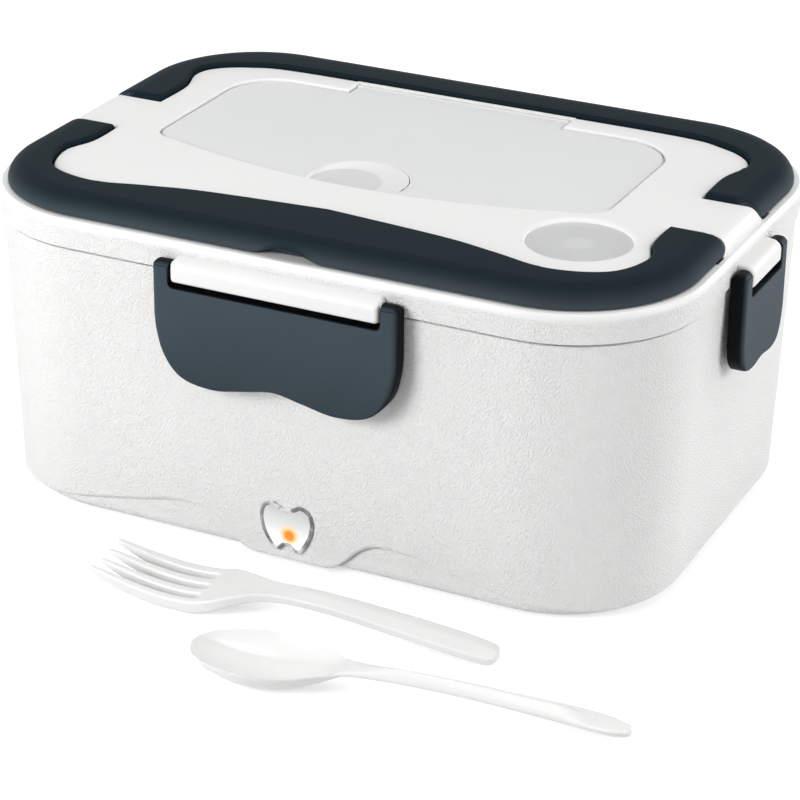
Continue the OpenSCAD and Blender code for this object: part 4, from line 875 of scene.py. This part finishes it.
def vent_piece():
    """Silicone plug: a flat disc that lies a little deep, a soft raised rim, and its stem."""
    profile = np.array([(0.0, 107.02), (13.2, 107.03), (14.2, 107.05), (15.0, 107.1),
                        (15.6, 107.2), (16.0, 107.3), (16.25, 107.27), (16.33, 107.15),
                        (16.33, 107.0), (16.1, 106.9), (4.8, 106.9), (4.8, 92.7),
                        (4.6, 92.5), (0.0, 92.5)])
    a = np.radians(np.arange(0, 360, 5))
    r, z = profile.T
    grid = np.dstack([VENT[0] + np.outer(np.cos(a), r), VENT[1] + np.outer(np.sin(a), r),
                      np.broadcast_to(z, (len(a), len(z)))])
    skin = Skin()
    skin.grid(grid, close_rows=True)
    return skin.piece("vent_plug_skin", SILICONE, "vent_plug", ["vent_plug"])


lid_skin()
finger_dish()
cover_piece()
vent_piece()
for label, (angle, distance) in SIDES.items():
    latch_bar(f"latch_bar_{label}", angle, distance, 35.2 if distance == HALF_W else 13.2)


# ---- Handles ----

def inner_reach(centres, outward, edge):
    """Distance from the corner-centre rectangle out to a handle's inner edge: measured
    straight across on the sides, and by angle round the corners."""
    right = edge[edge[:, 0] >= 0]
    front = right[right[:, 0] <= CX]
    corner = right[(right[:, 0] > CX) & (right[:, 1] < -CY)]
    side = right[(right[:, 0] > CX) & (right[:, 1] >= -CY)]
    angle = np.degrees(np.arctan2(-outward[:, 1], np.abs(outward[:, 0])))
    corner_angle = np.degrees(np.arctan2(-(corner[:, 1] + CY), corner[:, 0] - CX))
    corner_reach = np.hypot(corner[:, 0] - CX, corner[:, 1] + CY)
    order = np.argsort(corner_angle)
    a = np.concatenate([[0], corner_angle[order], [90]])
    at_side = np.interp(-CY, side[:, 1], side[:, 0]) - CX
    at_front = -np.interp(CX, front[:, 0], front[:, 1]) - CY
    reach = np.interp(angle, a, np.concatenate([[at_side], corner_reach[order], [at_front]]))
    on_front = np.interp(np.abs(centres[:, 0]), front[:, 0], -front[:, 1]) - CY
    on_side = np.interp(centres[:, 1], side[:, 1], side[:, 0]) - CX
    reach = np.where(angle > 89.9, on_front, reach)
    return np.where(angle < 0.1, on_side, reach)


def rolled(place, normal):
    """Painted light: rises from 0 at the crease to 1 low on a handle's rolled outer face,
    which is painted lighter, and is 0 on its flat band and its inner edge, which take the
    painted shade."""
    outward = place[:, :2] - np.clip(place[:, :2], (-CX, -CY), (CX, CY))
    faces_out = (normal[:, :2] * outward).sum(1) > 0
    return np.clip((0.985 - normal[:, 2]) / 0.8, 0, 1) * faces_out


def handle_piece(name, edge, end, rear, notched):
    """A handle: its section runs from the inner edge over a flat top and a soft crease down
    the rolled outer face, and is carried from one arm's end round to the other. The rear one
    is worked out as a front one and mirrored. The notch is a hollow under the outer face."""
    centres, outward = walk_round(side_step=1.0, arc_steps=36)
    beside = (np.abs(outward[:, 1]) < 1e-6) & (centres[:, 1] < end - 2.01)
    keep = np.where((outward[:, 1] < -1e-6) | beside)[0]
    # The walk starts in the middle of the handle, so it is turned to start at the left arm.
    first = keep[outward[keep, 0] < -0.999].min()
    order = np.concatenate([keep[keep >= first], keep[keep < first]])
    centres, outward = centres[order], outward[order]
    # Each tip closes as a quarter circle.
    turn, tip_r = np.radians([0, 22, 45, 68, 84]), 2
    tip = np.column_stack([np.full(len(turn), CX), end - tip_r + tip_r * np.sin(turn)])
    tip_out = np.tile([1.0, 0.0], (len(turn), 1))
    drawn_in = tip_r * (1 - np.cos(turn))
    shrink = np.concatenate([drawn_in[::-1], np.zeros(len(centres)), drawn_in])
    centres = np.vstack([tip[::-1] * [-1, 1], centres, tip])
    outward = np.vstack([-tip_out, outward, tip_out])
    r_in, r_out = inner_reach(centres, outward, edge), HANDLE_R
    top, low = HANDLE_Z + HANDLE_H, HANDLE_Z
    notch_h = 2.7
    notch = np.zeros(len(centres))
    if notched:
        x = centres[:, 0] + outward[:, 0] * HANDLE_R
        hollow = notch_h * np.clip(1 - (x / 11.5) ** 2, 0, 1) ** 1.3
        notch = np.where(np.abs(outward[:, 1]) > 0.999, hollow, 0)
    crease, roll_r, roll_h = r_out - 7.2, 6.6, HANDLE_H - 0.6
    # Underside from the inner edge outward, up the rolled face, and back over the top.
    rows = [(r_in + 0.5, low), (r_out - 3.9, low), (r_out - 3.8, low + notch * 0.92),
            (r_out - 0.9, low + notch),
            (r_out - 0.35 + 0.2 * notch / notch_h, low + 0.02 + notch),
            (r_out - 0.05 + 0.05 * notch / notch_h, low + 0.25 + notch)]
    for t in np.radians([8, 20, 33, 46, 58, 69, 79]):
        across, roll_z = roll_r * (1 - math.cos(t)), (top - 0.35) - roll_h * (1 - math.sin(t))
        rows.append((r_out - across, np.maximum(roll_z, low + 0.3 + notch)))
    rows += [(crease, top - 0.12), (crease - 1.2, top - 0.04), ((crease + r_in) / 2, top),
             (r_in + 1.1, top), (r_in + 0.55, top - 0.12), (r_in + 0.15, top - 0.45),
             (r_in, top - 1.0), (r_in, low + 0.5)]
    grid = []
    middle_r, middle_z = (r_in + r_out) / 2, (top + low) / 2
    for r, z in rows:
        r = np.where(r > middle_r, np.maximum(r - shrink * 0.5, middle_r), r)
        z = np.where(z > middle_z, np.minimum(z, top - shrink), z)
        xy = centres + outward * r[:, None]
        arm = np.abs(outward[:, 0]) > 0.999
        near_end = np.clip(1 - (end - xy[:, 1]) / 9.0, 0, 1) * arm
        xy[:, 1] -= end_bend(xy[:, 0], z) * near_end
        grid.append(np.column_stack([xy, z]))
    grid = np.stack(grid)
    if rear:
        grid = grid * [1, -1, 1]
    skin = Skin()
    skin.grid(grid, close_rows=True)
    skin.fan(grid[:, 0])
    skin.fan(grid[:, -1])
    return skin.piece(f"{name}_skin", HANDLE_SLATE, name, [name], sharp=55, painted_light=rolled)


handle_piece("front_handle", FRONT_EDGE, FRONT_END, False, True)
handle_piece("rear_handle", REAR_EDGE * [1, -1], -REAR_END, True, False)


# ---- Latches ----

AXIS_Z = 97.3                       # height of the latches' pins
LATCH_OUT = 5.5                     # front of a latch, out from the lid's face
EAR_W = 6.0
EAR_UP = 1.6                        # the ears' top above the pin
SLOT_Z = 91.0                       # floor of the slot between the ears


def wide_edge(w, z):
    """Lower edge of a front or rear latch, this wide: a lobe on each side of a dent."""
    return spline(mirrored([(0, z + 3.5), (w * 0.12, z + 1.8), (w * 0.25, z),
                            (w * 0.38, z + 1.8), (w * 0.462, z + 8.5), (w * 0.492, z + 16),
                            (w / 2, z + 22)]))


def side_edge(w, z):
    """Lower edge of a side latch, this wide."""
    return spline(mirrored([(0, z + 0.8), (w * 0.2, z), (w * 0.35, z + 1), (w * 0.46, z + 5),
                            (w / 2, z + 11)]))


def latch_outline(w, edge, drop):
    """Front of a latch: lobed lower edge, upright sides, an ear at each end of the slot,
    whose floor lies lower by drop."""
    slot, ear_top = w / 2 - EAR_W, AXIS_Z + EAR_UP
    right = np.vstack([arc((w / 2 - 2.2, ear_top - 2.2), 2.2, 0, 90, 6),
                       arc((slot + 0.6, ear_top - 0.6), 0.6, 90, 180, 3),
                       arc((slot - 1.4, SLOT_Z - drop + 1.4), 1.4, 0, -90, 5)])
    return np.vstack([edge, right, right[::-1] * [-1, 1]])


def latch_piece(name, angle, distance, w, edge, drop=0.0):
    """A latch: a front plate with a deep rim whose sides roll over by 2 mm and whose other
    edges are sharper. Above the pin the ears' depth follows a half circle round it."""
    flat = on_face(angle, distance)

    def place(q, out):
        bow = math.sqrt(max(0.0, 1 - ((out - LATCH_OUT / 2) / 2.5) ** 2))
        z = np.where(q[:, 1] > AXIS_Z, AXIS_Z + (q[:, 1] - AXIS_Z) * bow, q[:, 1])
        return flat(np.column_stack([q[:, 0], z]), out)

    loop = anticlockwise(latch_outline(w, edge, drop))
    side = np.roll(loop, -1, 0) - loop
    middle = loop + side / 2
    steep = np.abs(side[:, 1]) / np.hypot(*side.T)
    roll = 0.3 + 0.7 * steep * (np.abs(middle[:, 0]) > w / 2 - 3.5)
    for _ in range(6):
        roll = (np.roll(roll, 1) + 2 * roll + np.roll(roll, -1)) / 4
    back = [(1.6, 3.3), (1.6, 0.3), (0.25, 0.3), (0, 0.55), (0, 1.4), (0, 2.4), (0, 3.0)]
    front = [(d * 1.1 * roll, LATCH_OUT - h) for d, h in rounding(2.0, 8)[1:]]
    skin = Skin()
    skin.pad(loop, back + front, place)
    hook = np.array([(3.6, 69.3), (1.3, 71.5), (1.3, 73.7), (3.6, 73.7)])
    skin.pad(hook, run_along((w - 29) / 2, 0.2), across_face(angle, distance))

    # Painted shade: 1 on the front, falling to 0 on the side walls, which take the near-black
    # shade, and less towards the bottom.
    def painted_latch_shade(place, normal):
        a = math.radians(angle)
        front = np.clip((normal @ (math.sin(a), -math.cos(a), 0.0) - 0.45) / 0.5, 0, 1)
        return front * np.interp(place[:, 2], (60, 80), (0.72, 1.0))
    return skin.piece(f"{name}_skin", LATCH_SLATE, name, [name], sharp=50, painted_light=painted_latch_shade)


WIDE, NARROW = 83.0, 39.0
WIDE_EDGE, SIDE_EDGE = wide_edge(WIDE, AXIS_Z - 38.2), side_edge(NARROW, AXIS_Z - 33.0)
for label, (angle, distance) in SIDES.items():
    shape = (WIDE, WIDE_EDGE) if distance == HALF_W else (NARROW, SIDE_EDGE, 0.8)
    latch_piece(f"latch_{label}", angle, distance, *shape)


# ---- Cutlery ----

FORK_AT = (-47, -113, 3.5)          # x and y of the tip, and the turn in degrees
SPOON_AT = (4.5, -149.15, 10.3)


def laid(points, x, y, degrees):
    """Turns and places cutlery that was drawn lying along +X from the origin."""
    c, s = math.cos(math.radians(degrees)), math.sin(math.radians(degrees))
    px, py = points[..., 0], points[..., 1]
    return np.stack([x + c * px - s * py, y + s * px + c * py, points[..., 2]], -1)


def shortened(x, start, share):
    """Lengths whose part past start is shortened to this share."""
    return np.minimum(x, start) + np.maximum(x - start, 0) * share


def fork():
    """Fork: a thick outline with three slots, rounded at all edges, between a curve for its
    underside and one for its top. The tines are widest at their roots, stay broad for two
    thirds of their length and end in small round tips; the slots spread a little outward."""
    l, w, root = 133.0, 24.0, 34.5              # length, width, the tines' length
    from_tip = np.array([0.3, 0.7, 1.5, 3.0, 5.5, 9.0, 13.0, 18.0, 24.0, root])
    broad = np.interp(from_tip, (0.3, 0.7, 1.5, 3, 6, 10, 16, 24, root),
                      (0.4, 0.68, 0.84, 0.98, 1.18, 1.36, 1.54, 1.66, 1.7))
    pitch = np.interp(from_tip, (0, root), (6.25, 6.7))
    open_half = pitch / 2 - broad
    half = spline([(0, 9.75), (0.8, 10.1), (2.5, 10.4), (8, 10.8), (15, 11.2), (24, 11.6),
                   (34, 11.76), (40, 11.5), (44, 10.2), (48, 8.1), (52, 6.2), (57, 4.8),
                   (63, 4.35), (80, 4.6), (113, 5.7), (129, 5.2), (132.3, 3.1), (l, 0)], 5)
    tines = []
    for k in (1, 0, -1):
        up = np.column_stack([from_tip, k * pitch + open_half])
        down = np.column_stack([from_tip, k * pitch - open_half])
        tines += [up, arc((root, k * pitch[-1]), open_half[-1], 90, -90, 8)[1:-1], down[::-1]]
    outline = anticlockwise(np.vstack([half[::-1], *tines, half[:-1] * [1, -1]]))
    step = np.roll(outline, -1, 0) - outline
    parts = np.maximum(1, np.round(np.hypot(*step.T) / 1.6)).astype(int)
    outline = np.vstack([p + d * (np.arange(n) / n)[:, None]
                         for p, d, n in zip(outline, step, parts)])
    under = spline([(0, 7.1), (5, 4.6), (9.4, 2.9), (16.6, 1.3), (23.7, 0.5), (30.7, 0.22),
                    (36, 0.45), (41, 1.7), (45.5, 3.2), (50, 4.4), (54, 5.1), (66, 6.0),
                    (82, 5.4), (113, 2.5), (l, 0.1)], 6)
    over = spline([(0, 8.5), (5, 7.55), (9.4, 6.6), (16.6, 5.2), (23.7, 4.35), (30.7, 4.2),
                   (36, 4.75), (41, 5.9), (45.5, 6.9), (50, 7.7), (54, 8.2), (66, 8.7),
                   (82, 8.0), (113, 4.9), (l, 2.4)], 6)

    def place(q, h):
        """Share h of the thickness up from the underside; the top is hollowed over the head
        and ridged along the handle."""
        low = np.interp(q[:, 0], *under.T)
        thick = np.interp(q[:, 0], *over.T) - low
        v = np.clip(np.abs(q[:, 1]) / np.maximum(np.interp(q[:, 0], *half.T), 1), 0, 1)
        handle = np.clip((q[:, 0] - 58) / 13, 0, 1)
        crown = (0.8 * (1 - v) * handle - 0.45 * (1 - handle) * (1 - v**2)) * (h > 0.5)
        flat = np.column_stack([shortened(q[:, 0], 50, 0.974), q[:, 1]])
        return laid(np.column_stack([flat, low + h * thick + crown]), *FORK_AT)

    rows = [(0.6, 0.0), (0.2, 0.07), (0, 0.2), (0, 0.74)]
    rows += [(d, 1 - h / 2.7) for d, h in rounding(0.7, 4)[1:]]
    # A lattice of points inside lets the flat fills follow the curves.
    xs = np.arange(1.2, l, 1.6)
    ys = np.arange(-w / 2, w / 2 + 0.1, 1.5)
    lattice = np.column_stack([np.repeat(xs, len(ys)), np.tile(ys, len(xs))])
    # The rounding gets finer towards the tips.
    middle = (outline[:, 0] + np.roll(outline[:, 0], -1)) / 2
    finer = np.interp(middle, (0, 2, 5, 14, 30), (0.2, 0.5, 0.75, 0.95, 1))
    loops = [inset(outline, d * finer) for d, _ in rows]
    skin = Skin()
    skin.wall(loops, [h for _, h in rows], place, first=False, last=False)
    for loop, height in ((loops[0], rows[0][1]), (loops[-1], rows[-1][1])):
        clear = lattice[inside(lattice, inset(loop, 0.45))]
        skin.fill([loop], lambda q, height=height: place(q, height), extra=clear)
    return skin.piece("fork_skin", WHITE_GLOSS, "fork", ["fork"], sharp=60)


def spoon():
    """Spoon: sections across it, each a flat loop whose half width and dish depth follow the
    length. The handle has a ridge, and a flat facet near its end."""
    l, w, t, bowl = 133.0, 27.3, 2.0, 46.0      # length, width, thickness, bowl's length
    half = spline([(0, 0), (bowl * 0.04, w * 0.2), (bowl * 0.17, w * 0.38),
                   (bowl * 0.45, w * 0.5), (bowl * 0.72, w * 0.42), (bowl * 0.95, w * 0.22),
                   (bowl * 1.15, w * 0.13), (l * 0.6, w * 0.13), (l * 0.85, w * 0.17),
                   (l * 0.96, w * 0.15), (l, 0)], 8)
    ease = (1 - np.cos(np.linspace(0, np.pi, 61))) / 2
    s = np.concatenate([bowl * 1.1 * ease[:-1], bowl * 1.1 + (l - bowl * 1.1)
                        * np.sin(np.linspace(0, np.pi / 2, 61))])
    width = np.maximum(np.interp(s, half[:, 0], half[:, 1]), 0.02)
    end_r = 3.0
    left = np.clip((l - s) / end_r, 0, 1)
    round_end = np.interp(l - end_r, half[:, 0], half[:, 1]) * np.sqrt(left * (2 - left))
    width = np.where(s > l - end_r, round_end, width)
    rim = np.interp(s, *spline([(0, 7.4), (bowl * 0.5, 7.0), (bowl * 0.9, 6.7), (bowl, 6.6),
                                (bowl * 1.12, 6.6), (l * 0.55, 6.0), (l * 0.8, 3.4),
                                (l, 0.2)], 8).T)
    u = np.clip(s / (bowl * 1.02), 0, 1)
    dish = 6.9 * np.clip(4 * u * (1 - u), 0, 1) ** 0.9 * (1 - 0.15 * u)
    phi = np.radians(np.arange(0, 360, 5))
    side, up = np.cos(phi), np.sin(phi)
    across = np.sign(side) * np.abs(side) ** 0.8
    y = width[:, None] * across
    thick = t / 2 * np.minimum(1, width / 1.5)[:, None]
    handle = np.clip((s - bowl * 1.05) / 14, 0, 1)[:, None]
    facet = np.clip((s - l * 0.84) / 9, 0, 1)[:, None]
    ridge = 1.5 * handle * (1 - facet) * np.clip(1 - np.abs(across), 0, 1)
    bowl_form = np.abs(across)[None, :] ** (2 + 2.2 * (1 - handle))
    z = (rim[:, None] - dish[:, None] * (1 - bowl_form) + t / 2
         + thick * np.sign(up) * np.abs(up) ** 0.6 + ridge * (up > 0))
    z = np.maximum(z, 0.05)
    x = np.broadcast_to(shortened(s, 60, 0.984)[:, None], y.shape)
    grid = laid(np.dstack([x, y, z]), *SPOON_AT)
    skin = Skin()
    skin.grid(grid, close_cols=True)
    skin.fan(grid[0])
    skin.fan(grid[-1])
    return skin.piece("spoon_skin", WHITE_GLOSS, "spoon", ["spoon"], sharp=60)


fork()
spoon()


# ---- Floor, lights and camera ----

def seen_plainly(tree):
    """1 for the camera and for what it sees in metal or through glass, and 0 elsewhere."""
    path = add(tree, "ShaderNodeLightPath").outputs
    direct = add(tree, "ShaderNodeMath",
                 {0: path["Is Camera Ray"], 1: path["Is Transmission Ray"]},
                 operation="MAXIMUM")
    return add(tree, "ShaderNodeMath", {0: direct, 1: path["Is Glossy Ray"]},
               operation="MAXIMUM").outputs[0]


def pale_floor():
    """White floor that the camera sees as plain white, with the object's soft shadow."""
    material, tree, _ = blank("white_floor")
    diffuse = add(tree, "ShaderNodeBsdfDiffuse", {"Color": colour("#dcdcdc")})
    glow = add(tree, "ShaderNodeEmission", {"Color": colour("#ffffff"), "Strength": 0.55})
    both = add(tree, "ShaderNodeAddShader", {0: diffuse, 1: glow})
    mixed = add(tree, "ShaderNodeMixShader", {0: seen_plainly(tree), 1: diffuse, 2: both})
    close(material, mixed)
    mesh = bpy.data.meshes.new("floor")
    half = 6.0
    corners = [(x * half, y * half, 0) for x, y in ((-1, -1), (1, -1), (1, 1), (-1, 1))]
    mesh.from_pydata(corners, [], [(0, 1, 2, 3)])
    mesh.materials.append(material)
    floor = bpy.data.objects.new("floor", mesh)
    bpy.context.scene.collection.objects.link(floor)


def white_room():
    """World that lights softly from all round and shows plain white behind the object."""
    world = bpy.data.worlds.new("white_room")
    world.use_nodes = True
    tree = world.node_tree
    tree.nodes.clear()
    direction = add(tree, "ShaderNodeTexCoord").outputs["Generated"]
    height = add(tree, "ShaderNodeSeparateXYZ", {0: direction})
    power = add(tree, "ShaderNodeMapRange",
                {"Value": height.outputs["Z"], "From Min": 0.1, "From Max": 0.95,
                 "To Min": 0.05, "To Max": 0.45})
    soft = add(tree, "ShaderNodeBackground", {"Color": colour("#ffffff"), "Strength": power})
    plain = add(tree, "ShaderNodeBackground", {"Color": colour("#ffffff"), "Strength": 1.0})
    mixed = add(tree, "ShaderNodeMixShader", {0: seen_plainly(tree), 1: soft, 2: plain})
    add(tree, "ShaderNodeOutputWorld", {"Surface": mixed})
    bpy.context.scene.world = world


def softbox(name, place, target, size, power):
    """Area lamp of this width and height in metres, aimed at a point."""
    lamp = bpy.data.lights.new(name, "AREA")
    lamp.shape = "RECTANGLE"
    lamp.size, lamp.size_y = size
    lamp.energy = power
    holder = bpy.data.objects.new(name, lamp)
    holder.location = place
    aim = Vector(target) - Vector(place)
    holder.rotation_euler = aim.to_track_quat("-Z", "Y").to_euler()
    bpy.context.scene.collection.objects.link(holder)


def photo_camera():
    """Camera of the photograph, from a fit to the object's outlines: its place, and the
    directions to its right, up, and back from the object, with an 800 pixel frame."""
    focal_px, frame_px = 2831.03, 800
    place = Vector((368.61, -772.00, 427.79)) * MM
    right = Vector((0.90003, 0.43567, 0.01154))
    up = Vector((-0.19570, 0.38035, 0.90390))
    back = Vector((0.38941, -0.81580, 0.42758))
    cam = bpy.data.cameras.new("camera")
    cam.sensor_width = 36.0
    cam.lens = focal_px * cam.sensor_width / frame_px
    cam.clip_start, cam.clip_end = 0.05, 50
    holder = bpy.data.objects.new("camera", cam)
    turn = Matrix((right, up, back)).transposed().to_4x4()
    holder.matrix_world = Matrix.Translation(place) @ turn
    bpy.context.scene.collection.objects.link(holder)
    bpy.context.scene.camera = holder


pale_floor()
white_room()
for lamp_name, lamp_place, target_x, size, watts in (
        ("key", (-0.44, -0.8, 0.42), -0.03, (0.4, 0.4), 6.5),
        ("side", (1.25, 0.12, 0.5), 0, (0.5, 0.6), 7.9),
        ("top", (0.1, 0.3, 1.6), 0, (1.2, 0.9), 6.6),
        ("back", (0.7, 1.2, 0.35), 0, (0.6, 0.6), 3.0)):
    softbox(lamp_name, lamp_place, (target_x, 0, 0.05), size, watts)
photo_camera()

bpy.context.scene.view_settings.view_transform = "Standard"
